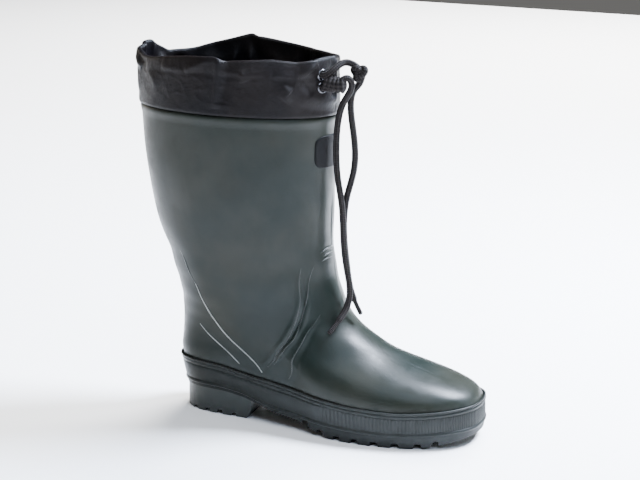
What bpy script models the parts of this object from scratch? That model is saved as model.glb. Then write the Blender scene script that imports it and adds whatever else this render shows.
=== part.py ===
"""Knee-high rubber work boot for the right foot, with a gathered fabric cuff and a drawcord.

The boot is built from the ground up: outsole and heel, foxing band, hollow upper, insole, cuff and cord.
Lengths are in metres. While it is built, x runs from the back of the heel to the toe, y towards the inner
side of the foot and z up from the ground. A root empty then brings the middle of the footprint to the origin.

A place on the boot is given by two numbers. "around" goes once round the foot: 0 at the toe, 0.5 at the back
of the heel, along the inner side first. "level" goes up the upper: 0 at the top of the band, 1 at the collar.
"""

from collections import namedtuple

import bmesh
import bpy
import numpy as np
from mathutils import Vector

# Driving dimensions

SOLE_LENGTH = 0.2945
BALL_WIDTH = 0.117
HEEL_WIDTH = 0.074
HEEL_LENGTH = 0.077
HEEL_RISE = 0.0285
FOREFOOT_RISE = 0.0115
TOE_SPRING = 0.0105
BAND_HEIGHT = 0.024
INSTEP_HEIGHT = 0.143
COLLAR_HEIGHT = 0.297
SHAFT_LENGTH = 0.191
SHAFT_WIDTH = 0.124
SHAFT_SETBACK = 0.0510
CUFF_HEIGHT = 0.054

CLEARANCE = 0.0003
UPPER_WALL = 0.0028
BAND_WALL = 0.0040
BAND_LIP = 0.0020
LOWER_LIP = 0.0012
WAIST_THICKNESS = 0.0035
SHANK_RECESS = 0.0020
SHANK_RIB_WIDTH = 0.030
INSOLE_THICKNESS = 0.0045
CUFF_WALL = 0.0026
CUFF_OVERLAP = 0.011
COLLAR_STEP = 0.0012
BEAD_HEIGHT = 0.0055
BEAD_RELIEF = 0.0010

RIB_PITCH = 0.0029
RIB_DEPTH = 0.0008
RIBBED_FROM = 0.50
GROOVE_PITCH = 0.0615 * SOLE_LENGTH
FIRST_GROOVE = 0.4585 * SOLE_LENGTH
GROOVE_DEPTH = 0.0045
GROOVE_MOUTH = 0.0078
GROOVE_FLOOR = 0.0056
GROOVE_WAVE = 0.0024
GROOVE_WAVELENGTH = 0.0195
GROOVE_SPILL = 0.0040
GROOVE_FLARE = 0.0015
GROOVE_COUNT = 8
SIDE_DRAFT = 0.0008
HEEL_INSET = 0.0030
HEEL_TAPER = 0.0015
HEEL_BEVEL = 0.0050
HEEL_GROOVE_DEPTH = 0.0040
HEEL_GROOVE_PLACE = 0.55 * HEEL_LENGTH

RIB_RELIEF = 0.0012
RIB_WIDTH = 0.0036
RIB_BURIED = 0.0011

PLATE_THICKNESS = 0.0011
PLATE_WIDTH = 0.0569
PLATE_HEIGHT = 0.0306
PLATE_BELOW_COLLAR = 0.0329

CORD_RADIUS = 0.0031
TIP_RADIUS = 0.0021
EYELET_RADIUS = 0.0046
EYELET_TUBE = 0.0009
EYELET_PITCH = 0.0112
TIP_LENGTH = 0.018
LOOP_LENGTH = 0.062

# Places given as shares: the eyelets around the shaft, and the upper one's height in the cuff.
EYELET_AROUND = 0.938
EYELET_UP_CUFF = 0.7222

# Fineness of the solids

AROUND_COUNT = 48
STATION_COUNT = 30
EYELET_STEPS = 14
TUBE_STEPS = 6
LOOP_SPACING = 2.0
STRAND_SPACING = 3.6

# Least share of the half-width that the shank rib and its foot leave free
RIB_SHARE = 0.6
RIB_FOOT_SHARE = 0.7

# Tables

# Half outline of the sole. way: share of the half turn from the heel's back to the toe's tip. half:
# half-width as a share of the heel's or the ball's width, which of_heel mixes. centre: shift to the inner
# side, as a share of the ball's width.
OutlineRow = namedtuple("OutlineRow", "way half of_heel centre")
SOLE_OUTLINE = (
    OutlineRow(0.00, 0.000, 1.0, 0.000),
    OutlineRow(0.10, 0.310, 1.0, 0.000),
    OutlineRow(0.20, 0.468, 1.0, 0.000),
    OutlineRow(0.30, 0.500, 1.0, -0.006),
    OutlineRow(0.35, 0.484, 0.9, -0.016),
    OutlineRow(0.40, 0.440, 0.6, -0.030),
    OutlineRow(0.45, 0.400, 0.2, -0.032),
    OutlineRow(0.50, 0.446, 0.0, -0.020),
    OutlineRow(0.55, 0.482, 0.0, -0.014),
    OutlineRow(0.60, 0.500, 0.0, -0.003),
    OutlineRow(0.70, 0.473, 0.0, 0.018),
    OutlineRow(0.80, 0.388, 0.0, 0.038),
    OutlineRow(0.90, 0.240, 0.0, 0.047),
    OutlineRow(0.95, 0.142, 0.0, 0.053),
    OutlineRow(1.00, 0.000, 0.0, 0.058),
)

# Heights along the sole. along: share of its length. heel: share of the heel's rise over the forefoot's, at
# the foot of the band. spring: share of the toe spring. band: share of the band's height.
HeightRow = namedtuple("HeightRow", "along heel spring band")
SOLE_LINE = (
    HeightRow(0.00, 0.95, 0.00, 1.06),
    HeightRow(0.06, 1.04, 0.00, 1.02),
    HeightRow(0.14, 1.06, 0.00, 0.96),
    HeightRow(0.23, 0.88, 0.00, 0.92),
    HeightRow(0.29, 0.60, 0.00, 1.02),
    HeightRow(0.35, 0.34, 0.00, 1.14),
    HeightRow(0.44, 0.18, 0.00, 1.12),
    HeightRow(0.55, 0.07, 0.00, 1.04),
    HeightRow(0.65, 0.00, 0.00, 0.98),
    HeightRow(0.77, 0.00, 0.00, 0.92),
    HeightRow(0.84, 0.00, 0.10, 0.92),
    HeightRow(0.90, 0.00, 0.24, 0.92),
    HeightRow(0.96, 0.00, 0.38, 0.93),
    HeightRow(1.00, 0.00, 0.44, 0.94),
)

# Underside of the outsole. plate: share of the waist's thin plate, the rest being lugs down to the ground.
# spring: share of the toe spring. recess: share of the depth beside the shank rib.
UnderRow = namedtuple("UnderRow", "along plate spring recess")
SOLE_UNDERSIDE = (
    UnderRow(0.00, 1.00, 0.00, 0.00),
    UnderRow(0.27, 1.00, 0.00, 0.00),
    UnderRow(0.31, 1.00, 0.00, 1.00),
    UnderRow(0.42, 0.98, 0.00, 1.00),
    UnderRow(0.47, 0.74, 0.00, 0.80),
    UnderRow(0.51, 0.36, 0.00, 0.20),
    UnderRow(0.55, 0.10, 0.00, 0.00),
    UnderRow(0.60, 0.00, 0.00, 0.00),
    UnderRow(0.77, 0.00, 0.00, 0.00),
    UnderRow(0.84, 0.00, 0.10, 0.00),
    UnderRow(0.90, 0.00, 0.38, 0.00),
    UnderRow(0.96, 0.00, 0.76, 0.00),
    UnderRow(1.00, 0.00, 1.00, 0.00),
)

# Loops of the foot, from just above the band to the bend of the instep. back_up and front_up: share of the
# way from the band's top to the instep's height, at the loop's two ends. back and front: share of the sole's
# length. half: share of the ball's width. oval: 0 where the loop has the sole's outline, 1 where it is an
# oval. full: how full the oval's shoulders are. follow: how far the loop dips with the band. lean: share of
# the outline's swing to the inner side.
LoopRow = namedtuple("LoopRow", "back_up front_up back front half oval full follow lean")
FOOT_LOOPS = (
    LoopRow(0.000, 0.000, -0.0165, 0.9900, 0.483, 0.00, 0.00, 1.00, 1.00),
    LoopRow(0.078, 0.062, -0.0209, 0.9730, 0.476, 0.03, 0.04, 0.86, 1.00),
    LoopRow(0.144, 0.112, -0.0209, 0.9420, 0.460, 0.08, 0.05, 0.66, 1.00),
    LoopRow(0.211, 0.160, -0.0199, 0.8920, 0.436, 0.15, 0.06, 0.46, 0.95),
    LoopRow(0.278, 0.208, -0.0191, 0.8270, 0.410, 0.25, 0.07, 0.30, 0.88),
    LoopRow(0.344, 0.257, -0.0188, 0.7630, 0.388, 0.38, 0.07, 0.18, 0.80),
    LoopRow(0.417, 0.320, -0.0188, 0.7019, 0.372, 0.52, 0.07, 0.10, 0.70),
    LoopRow(0.489, 0.405, -0.0196, 0.6500, 0.364, 0.66, 0.06, 0.05, 0.58),
    LoopRow(0.567, 0.497, -0.0212, 0.6000, 0.363, 0.78, 0.06, 0.02, 0.45),
    LoopRow(0.645, 0.600, -0.0239, 0.5623, 0.367, 0.88, 0.05, 0.00, 0.34),
    LoopRow(0.733, 0.718, -0.0290, 0.5348, 0.376, 0.95, 0.05, 0.00, 0.24),
    LoopRow(0.845, 0.852, -0.0387, 0.5155, 0.388, 1.00, 0.04, 0.00, 0.15),
    LoopRow(1.000, 1.000, -0.0550, 0.4971, 0.404, 1.00, 0.04, 0.00, 0.08),
)

# Loops of the shaft. up: share of the way from the instep's height to the collar. back: where the loop's
# back lies between the heel's back, 0, and the shaft's setback, 1. length and half: shares of the shaft's
# length and width at the collar.
ShaftRow = namedtuple("ShaftRow", "up back length half full")
SHAFT_LOOPS = (
    ShaftRow(0.095, 0.390, 0.858, 0.398, 0.03),
    ShaftRow(0.215, 0.560, 0.888, 0.420, 0.03),
    ShaftRow(0.390, 0.735, 0.932, 0.448, 0.02),
    ShaftRow(0.590, 0.862, 0.964, 0.472, 0.02),
    ShaftRow(0.795, 0.946, 0.985, 0.490, 0.01),
    ShaftRow(1.000, 1.000, 1.000, 0.500, 0.01),
)

# Wall of the band from its foot to its top. up: share of its height. out: how far it stands out from the
# straight line between the sole's outline and the upper, as a share of the lower lip.
BandRow = namedtuple("BandRow", "up out")
BAND_FOOT = (
    BandRow(0.00, 0.80),
    BandRow(0.07, 1.00),
    BandRow(0.13, 0.10),
)
BAND_RIBBED = (
    BandRow(0.17, 0.40),
    BandRow(0.72, 0.40),
)
BAND_HEAD = (
    BandRow(0.77, -0.10),
    BandRow(0.82, 0.80),
    BandRow(0.88, 0.85),
    BandRow(0.91, 0.20),
    BandRow(0.95, 0.75),
)

# Rim of the cuff: its rise above the even height and its lean outwards, as shares of the cuff's height.
RimRow = namedtuple("RimRow", "around rise lean")
CUFF_RIM = (
    RimRow(0.00, -0.08, -0.02),
    RimRow(0.06, 0.00, 0.03),
    RimRow(0.14, -0.05, -0.03),
    RimRow(0.22, 0.03, 0.02),
    RimRow(0.30, 0.06, -0.02),
    RimRow(0.38, -0.03, 0.03),
    RimRow(0.46, 0.02, 0.00),
    RimRow(0.53, -0.02, 0.02),
    RimRow(0.60, 0.04, 0.01),
    RimRow(0.66, -0.01, -0.03),
    RimRow(0.73, -0.03, 0.00),
    RimRow(0.81, -0.01, 0.02),
    RimRow(0.88, 0.02, -0.02),
    RimRow(0.95, 0.00, -0.04),
    RimRow(1.00, -0.08, -0.02),
)

# Wall of the cuff from its hem, up the outside, over the rim and down inside. up: share of its height.
# out: standing out from the shaft's line, as a share of the cuff's wall. fold: share of the rim's folds.
CuffRow = namedtuple("CuffRow", "up out fold")
CUFF_OUTSIDE = (
    CuffRow(0.000, 0.80, 0.00),
    CuffRow(0.080, 1.00, 0.02),
    CuffRow(0.420, 0.95, 0.30),
    CuffRow(0.760, 0.90, 0.75),
    CuffRow(0.930, 0.95, 1.00),
    CuffRow(0.995, 0.55, 1.00),
)
CUFF_INSIDE = (
    CuffRow(0.985, -0.25, 1.00),
    CuffRow(0.900, -0.60, 1.00),
    CuffRow(0.500, -0.50, 0.40),
)

# Raised lines on the outer side of the upper. relief: share of the rib's.
RibPoint = namedtuple("RibPoint", "around level relief")
RIBS = (
    (
        RibPoint(0.628, 0.710, 0.0),
        RibPoint(0.641, 0.620, 0.4),
        RibPoint(0.650, 0.500, 0.8),
        RibPoint(0.663, 0.340, 1.0),
        RibPoint(0.676, 0.210, 1.0),
        RibPoint(0.687, 0.120, 1.0),
        RibPoint(0.693, 0.045, 0.9),
    ),
    (
        RibPoint(0.610, 0.360, 0.0),
        RibPoint(0.623, 0.288, 0.6),
        RibPoint(0.636, 0.216, 0.9),
        RibPoint(0.651, 0.137, 0.9),
        RibPoint(0.664, 0.058, 0.8),
    ),
    (
        RibPoint(0.879, 0.715, 0.0),
        RibPoint(0.850, 0.564, 1.0),
        RibPoint(0.797, 0.429, 1.0),
        RibPoint(0.743, 0.285, 1.0),
        RibPoint(0.703, 0.134, 0.8),
    ),
    (
        RibPoint(0.897, 0.710, 0.0),
        RibPoint(0.867, 0.565, 1.0),
        RibPoint(0.812, 0.437, 1.0),
        RibPoint(0.762, 0.320, 1.0),
        RibPoint(0.712, 0.160, 0.6),
    ),
    (
        RibPoint(0.890, 0.540, 0.0),
        RibPoint(0.833, 0.446, 1.0),
        RibPoint(0.782, 0.327, 1.0),
        RibPoint(0.747, 0.209, 1.0),
        RibPoint(0.722, 0.050, 0.3),
    ),
)

# Routes of the drawcord from its eyelets to its tips. ahead: in front of the collar. aside: to the inner
# side. rise: above the collar.
CordPoint = namedtuple("CordPoint", "ahead aside rise")
CORD_RIGHT = (
    CordPoint(0.0085, -0.0200, 0.0485),
    CordPoint(0.0140, -0.0135, 0.0505),
    CordPoint(0.0220, -0.0120, 0.0475),
    CordPoint(0.0275, -0.0120, 0.0405),
    CordPoint(0.0260, -0.0110, 0.0325),
    CordPoint(0.0200, -0.0085, 0.0250),
    CordPoint(0.0168, -0.0065, 0.0140),
    CordPoint(0.0180, -0.0060, -0.0020),
    CordPoint(0.0213, -0.0060, -0.0215),
    CordPoint(0.0220, -0.0060, -0.0495),
    CordPoint(0.0165, -0.0055, -0.0739),
    CordPoint(0.0140, -0.0050, -0.0970),
    CordPoint(0.0155, -0.0048, -0.1222),
    CordPoint(0.0190, -0.0045, -0.1460),
    CordPoint(0.0235, -0.0040, -0.1670),
    CordPoint(0.0285, -0.0030, -0.1790),
    CordPoint(0.0330, 0.0000, -0.1895),
)
CORD_LEFT = (
    CordPoint(0.0080, -0.0275, 0.0292),
    CordPoint(0.0125, -0.0255, 0.0350),
    CordPoint(0.0180, -0.0225, 0.0375),
    CordPoint(0.0208, -0.0195, 0.0320),
    CordPoint(0.0185, -0.0175, 0.0240),
    CordPoint(0.0125, -0.0150, 0.0140),
    CordPoint(0.0075, -0.0125, -0.0020),
    CordPoint(0.0062, -0.0120, -0.0310),
    CordPoint(0.0085, -0.0120, -0.0570),
    CordPoint(0.0130, -0.0125, -0.0790),
    CordPoint(0.0172, -0.0130, -0.1204),
    CordPoint(0.0212, -0.0130, -0.1442),
    CordPoint(0.0247, -0.0135, -0.1634),
    CordPoint(0.0232, -0.0150, -0.1780),
    CordPoint(0.0180, -0.0250, -0.1910),
    CordPoint(0.0120, -0.0350, -0.2015),
)

# Shape functions

# Step to a neighbouring place, as a share of the turn or of the upper's levels, for directions.
NEAR = 0.004


def spline(xs, ys):
    """The natural cubic spline through the values ys at xs, as a function."""
    xs = np.asarray(xs, float)
    ys = np.asarray(ys, float)
    step = np.diff(xs)
    system = np.eye(len(xs))
    right = np.zeros(len(xs))
    for i in range(1, len(xs) - 1):
        system[i, i - 1 : i + 2] = step[i - 1], 2 * (step[i - 1] + step[i]), step[i]
        right[i] = 6 * ((ys[i + 1] - ys[i]) / step[i] - (ys[i] - ys[i - 1]) / step[i - 1])
    bend = np.linalg.solve(system, right)

    def value(x):
        i = np.clip(np.searchsorted(xs, x, side="right") - 1, 0, len(xs) - 2)
        b = (x - xs[i]) / step[i]
        a = 1 - b
        curved = ((a**3 - a) * bend[i] + (b**3 - b) * bend[i + 1]) * step[i] ** 2 / 6
        return a * ys[i] + b * ys[i + 1] + curved

    return value


def steady(xs, ys):
    """A smooth curve through the values that never leaves the span of its two neighbours, as a function."""
    xs = np.asarray(xs, float)
    ys = np.asarray(ys, float)
    step = np.diff(xs)
    slope = np.diff(ys) / step
    at = np.zeros(len(xs))
    same = slope[1:] * slope[:-1] > 0
    at[1:-1][same] = 2 * slope[1:][same] * slope[:-1][same] / (slope[1:] + slope[:-1])[same]
    at[0], at[-1] = slope[0], slope[-1]

    def value(x):
        x = np.clip(x, xs[0], xs[-1])
        i = np.clip(np.searchsorted(xs, x, side="right") - 1, 0, len(xs) - 2)
        t = (x - xs[i]) / step[i]
        rise = t * t * (3 - 2 * t)
        ends = step[i] * (at[i] * t * (1 - t) ** 2 - at[i + 1] * t * t * (1 - t))
        return ys[i] + (ys[i + 1] - ys[i]) * rise + ends

    return value


def column(table, name):
    """One named column of a table."""
    return [getattr(row, name) for row in table]


def curves_of(table, across, kind=spline):
    """A curve for every column of a table over the column across, by name."""
    names = [name for name in table[0]._fields if name != across]
    return {name: kind(column(table, across), column(table, name)) for name in names}


OUTLINE = curves_of(SOLE_OUTLINE, "way")
LINE = curves_of(SOLE_LINE, "along", steady)
UNDER = curves_of(SOLE_UNDERSIDE, "along", steady)


def outline_half(way):
    """Half-width of the sole at a way from the heel's back to the toe's tip."""
    of_heel = np.clip(OUTLINE["of_heel"](way), 0, 1)
    return OUTLINE["half"](way) * (BALL_WIDTH + of_heel * (HEEL_WIDTH - BALL_WIDTH))


def outline_centre(way):
    """Middle line of the sole at a way, towards the inner side."""
    return OUTLINE["centre"](way) * BALL_WIDTH


def way_and_side(around):
    """Way from heel to toe and side, 1 inner or -1 outer, of places around the foot."""
    turned = (np.asarray(around, float) + 0.5) % 1 - 0.5
    return 1 - 2 * np.abs(turned), np.where(turned < 0, -1.0, 1.0)


def along_of(way):
    """Share of a loop's length that is passed at a way."""
    return (1 - np.cos(np.pi * way)) / 2


def foot_of_band(along):
    """Height of the band's foot, where the outsole begins."""
    rise = LINE["heel"](along) * (HEEL_RISE - FOREFOOT_RISE)
    return FOREFOOT_RISE + rise + LINE["spring"](along) * TOE_SPRING


def head_of_band(along):
    """Height of the band's top edge."""
    return foot_of_band(along) + LINE["band"](along) * BAND_HEIGHT


def underside(along):
    """Height of the outsole's underside, at the tips of its lugs."""
    plate = foot_of_band(along) - WAIST_THICKNESS
    return UNDER["plate"](along) * plate + UNDER["spring"](along) * TOE_SPRING


def sole_outline(around, out=0.0):
    """Plan of the sole's edge at places around the foot, moved out by a length, as x and y."""

    def edge(place):
        way, side = way_and_side(place)
        x = SOLE_LENGTH * along_of(way)
        return np.stack([x, outline_centre(way) + side * outline_half(way)], axis=-1)

    around = np.asarray(around, float)
    tangent = edge(around + NEAR) - edge(around - NEAR)
    tangent /= np.linalg.norm(tangent, axis=-1, keepdims=True)
    return edge(around) + out * np.stack([tangent[..., 1], -tangent[..., 0]], axis=-1)


def loop_columns():
    """The loops of foot and shaft as one table of real sizes, as a curve for each column over the level."""
    heel, toe = head_of_band(0.0), head_of_band(1.0)
    rows = []
    for loop in FOOT_LOOPS:
        rows.append(
            dict(
                back_z=heel + loop.back_up * (INSTEP_HEIGHT - heel),
                front_z=toe + loop.front_up * (INSTEP_HEIGHT - toe),
                back=loop.back * SOLE_LENGTH,
                front=loop.front * SOLE_LENGTH,
                half=loop.half * BALL_WIDTH,
                oval=loop.oval,
                full=loop.full,
                follow=loop.follow,
                lean=loop.lean,
            )
        )
    for loop in SHAFT_LOOPS:
        height = INSTEP_HEIGHT + loop.up * (COLLAR_HEIGHT - INSTEP_HEIGHT)
        back = -loop.back * SHAFT_SETBACK
        rows.append(
            dict(
                back_z=height,
                front_z=height,
                back=back,
                front=back + loop.length * SHAFT_LENGTH,
                half=loop.half * SHAFT_WIDTH,
                oval=1.0,
                full=loop.full,
                follow=0.0,
                lean=0.0,
            )
        )
    levels = np.linspace(0, 1, len(rows))
    return {name: spline(levels, [row[name] for row in rows]) for name in rows[0]}


LOOPS = loop_columns()
LOOP_COUNT = len(FOOT_LOOPS) + len(SHAFT_LOOPS)


def level_at(height):
    """Level of a height on the shaft."""
    ups = [loop.up for loop in SHAFT_LOOPS]
    levels = np.linspace(0, 1, LOOP_COUNT)[-len(ups) :]
    return np.interp((height - INSTEP_HEIGHT) / (COLLAR_HEIGHT - INSTEP_HEIGHT), ups, levels)


def skin(around, level):
    """Points on the upper's outer face."""
    around, level = np.broadcast_arrays(np.asarray(around, float), np.asarray(level, float))
    at = {name: curve(level) for name, curve in LOOPS.items()}
    way, side = way_and_side(around)
    along = along_of(way)
    like_sole = outline_half(way) * 2 / BALL_WIDTH
    oval = (np.sin(np.pi * way) + at["full"] * np.sin(3 * np.pi * way)) / (1 - at["full"])
    across = like_sole + at["oval"] * (oval - like_sole)
    chord = head_of_band(0.0) + along * (head_of_band(1.0) - head_of_band(0.0))
    dip = at["follow"] * (head_of_band(along) - chord)
    x = at["back"] + (at["front"] - at["back"]) * along
    y = at["lean"] * outline_centre(way) + side * at["half"] * across
    z = at["back_z"] + (at["front_z"] - at["back_z"]) * along + dip
    return np.stack([x, y, z], axis=-1)


def skin_normal(around, level):
    """Outward normals of the upper's outer face."""
    level = np.clip(level, 0, 1)
    high = np.minimum(level + NEAR, 1)
    low = np.maximum(level - NEAR, 0)
    across = skin(around + NEAR, level) - skin(around - NEAR, level)
    up = skin(around, high) - skin(around, low)
    normal = np.cross(across, up)
    return normal / np.linalg.norm(normal, axis=-1, keepdims=True)


def shell(around, level, out):
    """Points at a distance out of the upper's outer face, or in from it where out is negative."""
    return skin(around, level) + out * skin_normal(around, level)


def places(count):
    """Even places around the foot, starting at the toe."""
    return np.arange(count) / count


def feather(around, out):
    """The lower edge of the upper, inside the foot of the band, moved out by a length."""
    plan = sole_outline(around, out - BAND_WALL)
    return np.column_stack([plan, foot_of_band(plan[:, 0] / SOLE_LENGTH)])


# Mesh tools


def add_object(name, mesh, finish):
    """A new object with a mesh or curve and a finish."""
    made = bpy.data.objects.new(name, mesh)
    made.data.materials.append(finish)
    bpy.context.scene.collection.objects.link(made)
    return made


def mesh_of(name, points, faces):
    """A mesh from points and faces, with its faces turned outwards and shaded smooth up to a sharp angle."""
    mesh = bpy.data.meshes.new(name)
    mesh.from_pydata([tuple(p) for p in points], [], faces)
    shaped = bmesh.new()
    shaped.from_mesh(mesh)
    bmesh.ops.recalc_face_normals(shaped, faces=shaped.faces)
    shaped.to_mesh(mesh)
    shaped.free()
    mesh.shade_smooth()
    mesh.set_sharp_from_angle(angle=np.radians(40))
    return mesh


def stitch(first, second, first_at, second_at):
    """Triangles between two closed rings of point numbers, by their places around."""
    faces = []
    i = j = 0
    while i < len(first) or j < len(second):
        next_first = first_at[i + 1] if i + 1 < len(first) else (1.0 if i < len(first) else np.inf)
        next_second = second_at[j + 1] if j + 1 < len(second) else (1.0 if j < len(second) else np.inf)
        a, b = first[i % len(first)], second[j % len(second)]
        if next_first <= next_second and i < len(first):
            i += 1
            faces.append((a, first[i % len(first)], b))
        else:
            j += 1
            faces.append((a, second[j % len(second)], b))
    return faces


def ring_shell(rings, ring_places=None):
    """Points and faces of a closed hollow tube: each ring joined to the next, the last to the first. A ring
    may have its own places around, in ring_places by its number of points; the others have even ones."""
    points = np.vstack(rings)
    ring_places = ring_places or {}
    starts = np.cumsum([0] + [len(ring) for ring in rings])
    faces = []
    for k, ring in enumerate(rings):
        other = (k + 1) % len(rings)
        first = list(range(starts[k], starts[k] + len(ring)))
        second = list(range(starts[other], starts[other] + len(rings[other])))
        if len(first) == len(second):
            for i in range(len(first)):
                n = (i + 1) % len(first)
                faces.append((first[i], first[n], second[n], second[i]))
        else:
            own = [ring_places.get(len(run), places(len(run))) for run in (first, second)]
            faces += stitch(first, second, *own)
    return points, faces


def lofted_bar(sections):
    """Points and faces of a bar through sections of equal count, closed at both ends."""
    points = np.vstack(sections)
    count = len(sections[0])
    faces = [tuple(range(count)), tuple(range(len(points) - count, len(points)))]
    for k in range(len(sections) - 1):
        for i in range(count):
            n = (i + 1) % count
            a, b = k * count, (k + 1) * count
            faces.append((a + i, a + n, b + n, b + i))
    return points, faces


def hidden(made):
    """Mark an object as a helper that isn't part of the boot."""
    made.hide_render = True
    made.display_type = "WIRE"
    return made


def join_by(made, other, operation):
    """Give an object a Boolean with another, which becomes a helper."""
    change = made.modifiers.new(operation.title(), "BOOLEAN")
    change.operation = operation
    change.object = hidden(other)


# Finishes

GREEN = (0.052, 0.072, 0.066)
DARK_GREEN = (0.040, 0.052, 0.049)
FELT_GREY = (0.16, 0.16, 0.15)
NYLON_BLACK = (0.014, 0.014, 0.018)
STEEL_GREY = (0.30, 0.30, 0.31)
CORD_BLACK = (0.020, 0.020, 0.022)
SATIN = 0.38
MATT = 0.58
FIBROUS = 0.90
SHEENY = 0.42
STEEL_ROUGHNESS = 0.35
CORD_ROUGHNESS = 0.80


def finish_of(name, colour, roughness):
    """A plain finish."""
    finish = bpy.data.materials.new(name)
    finish.use_nodes = True
    shader = finish.node_tree.nodes["Principled BSDF"]
    shader.inputs["Base Color"].default_value = (*colour, 1.0)
    shader.inputs["Roughness"].default_value = roughness
    return finish


# Upper

# Rows of the loop tables that the inner wall takes, from the collar down, and how many loops next to the band
# have one more between them.
INNER_ROWS = [18, 16, 14, 12, 10, 8, 6, 4, 3, 2, 1, 0]
FINE_LOOP_COUNT = 4


def rib(path, name, mirrored, finish):
    """A raised line along the upper, thin at its ends, which the upper's mesh takes in."""
    at = np.linspace(0, 1, len(path))
    fine = np.linspace(0, 1, 2 * len(path) - 1)
    around, level, relief = (spline(at, column(path, part))(fine) for part in RibPoint._fields)
    around = 1 - around if mirrored else around
    centre = skin(around, level)
    normal = skin_normal(around, level)
    run = np.gradient(centre, axis=0)
    run /= np.linalg.norm(run, axis=1, keepdims=True)
    cross = np.cross(normal, run)
    sections = []
    for p, n, c, r in zip(centre, normal, cross, relief):
        foot = p - n * RIB_BURIED
        top = p + n * RIB_RELIEF * r
        wide = c * RIB_WIDTH / 2
        narrow = c * RIB_WIDTH / 5
        sections.append(np.array([foot - wide, foot + wide, top + narrow, top - narrow]))
    points, faces = lofted_bar(sections)
    return add_object(name, mesh_of(name, points, faces), finish)


def make_upper(finish):
    """The hollow rubber shell from the feather edge to the step under the cuff."""
    around = places(AROUND_COUNT)
    between = np.linspace(0, 1, LOOP_COUNT)
    halfway = (between[:FINE_LOOP_COUNT] + between[1 : FINE_LOOP_COUNT + 1]) / 2
    fine = np.sort(np.concatenate([between, halfway]))
    bead = 1 - level_at(COLLAR_HEIGHT - BEAD_HEIGHT)
    top = np.array([0, 0, CUFF_OVERLAP])
    seat = shell(around, 1.0, -COLLAR_STEP)
    outer = [feather(around, 0.0)] + [skin(around, level) for level in fine[:-1]]
    outer.append(skin(around, 1 - bead))
    outer.append(shell(around, 1 - 0.7 * bead, BEAD_RELIEF))
    outer.append(shell(around, 1 - 0.2 * bead, BEAD_RELIEF))
    outer += [skin(around, 1.0), seat, seat + top]
    inner = [shell(around, 1.0, -UPPER_WALL) + top]
    inner += [shell(around, level, -UPPER_WALL) for level in between[INNER_ROWS]]
    inner.append(feather(around, -UPPER_WALL))
    points, faces = ring_shell(outer + inner)
    upper = add_object("upper", mesh_of("upper", points, faces), finish)
    for number, path in enumerate(RIBS):
        for side, mirrored in (("outer", False), ("inner", True)):
            join_by(upper, rib(path, f"rib_{side}_{number + 1}", mirrored, finish), "UNION")
    return upper


# Band, outsole, heel and insole


def band_wall(around, up, out):
    """Points on the outer wall of the band."""
    way, _ = way_and_side(around)
    foot = sole_outline(around)
    head = shell(around, np.zeros(len(around)), BAND_LIP)
    low = np.column_stack([foot, foot_of_band(foot[:, 0] / SOLE_LENGTH)])
    line = low + (head - low) * up
    normal = skin_normal(around, np.zeros(len(around)))
    normal[:, 2] = 0
    normal /= np.linalg.norm(normal, axis=1, keepdims=True)
    return line + normal * out[:, None]


def make_band(finish):
    """The band round the foot, with fine upright ribs from the ball round the toe."""
    around = places(AROUND_COUNT)
    even = np.ones(AROUND_COUNT)
    girth = np.linalg.norm(np.diff(sole_outline(places(400)), axis=0), axis=1).sum()
    steps = places(4 * int(girth / RIB_PITCH / 2))
    reach = along_of(way_and_side(steps)[0])
    plain = around[along_of(way_and_side(around)[0]) <= RIBBED_FROM]
    fine = np.sort(np.concatenate([steps[reach > RIBBED_FROM], plain]))
    cut = np.where(np.isin(fine, steps[1::2]) & ~np.isin(fine, plain), RIB_DEPTH, 0.0)
    rings = [band_wall(around, row.up, even * row.out * LOWER_LIP) for row in BAND_FOOT]
    rings += [band_wall(fine, row.up, row.out * LOWER_LIP - cut) for row in BAND_RIBBED]
    rings += [band_wall(around, row.up, even * row.out * LOWER_LIP) for row in BAND_HEAD]
    rings.append(shell(around, 0.0, BAND_LIP))
    rings.append(shell(around, 0.0, CLEARANCE))
    rings.append(feather(around, CLEARANCE))
    points, faces = ring_shell(rings, {len(fine): fine})
    return add_object("foxing_band", mesh_of("foxing_band", points, faces), finish)


def sole_section(way, bottom, recess):
    """A section across the outsole: top, sides, and an underside with the shank rib."""
    along = along_of(way)
    x = along * SOLE_LENGTH
    centre = float(outline_centre(way))
    half = float(outline_half(way))
    rib_half = min(SHANK_RIB_WIDTH / 2, RIB_SHARE * half)
    rib_foot = min(SHANK_RIB_WIDTH / 2 + recess, RIB_FOOT_SHARE * half)
    top = foot_of_band(along) - CLEARANCE
    profile = (
        (half, top),
        (half - SIDE_DRAFT, bottom),
        (rib_foot, bottom + recess),
        (rib_half, bottom),
        (-rib_half, bottom),
        (-rib_foot, bottom + recess),
        (-half + SIDE_DRAFT, bottom),
        (-half, top),
    )
    return np.array([(x, centre + y, z) for y, z in profile])


def zigzag_cutter(x, floor, width, finish, name):
    """A bar with a zigzag plan and slanted walls, from below the ground up to a floor."""
    count = 2 * int(np.ceil(width / GROOVE_WAVELENGTH)) + 2
    sections = []
    for i in range(-count // 2, count // 2 + 1):
        y = i * GROOVE_WAVELENGTH / 2
        swing = GROOVE_WAVE * (1 if i % 2 else -1)
        mouth, inside = GROOVE_MOUTH / 2 + GROOVE_FLARE, GROOVE_FLOOR / 2
        low = floor - GROOVE_DEPTH - GROOVE_SPILL
        corners = ((-mouth, low), (mouth, low), (inside, floor), (-inside, floor))
        sections.append(np.array([(x + swing + dx, y, z) for dx, z in corners]))
    points, faces = lofted_bar(sections)
    return add_object(name, mesh_of(name, points, faces), finish)


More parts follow.
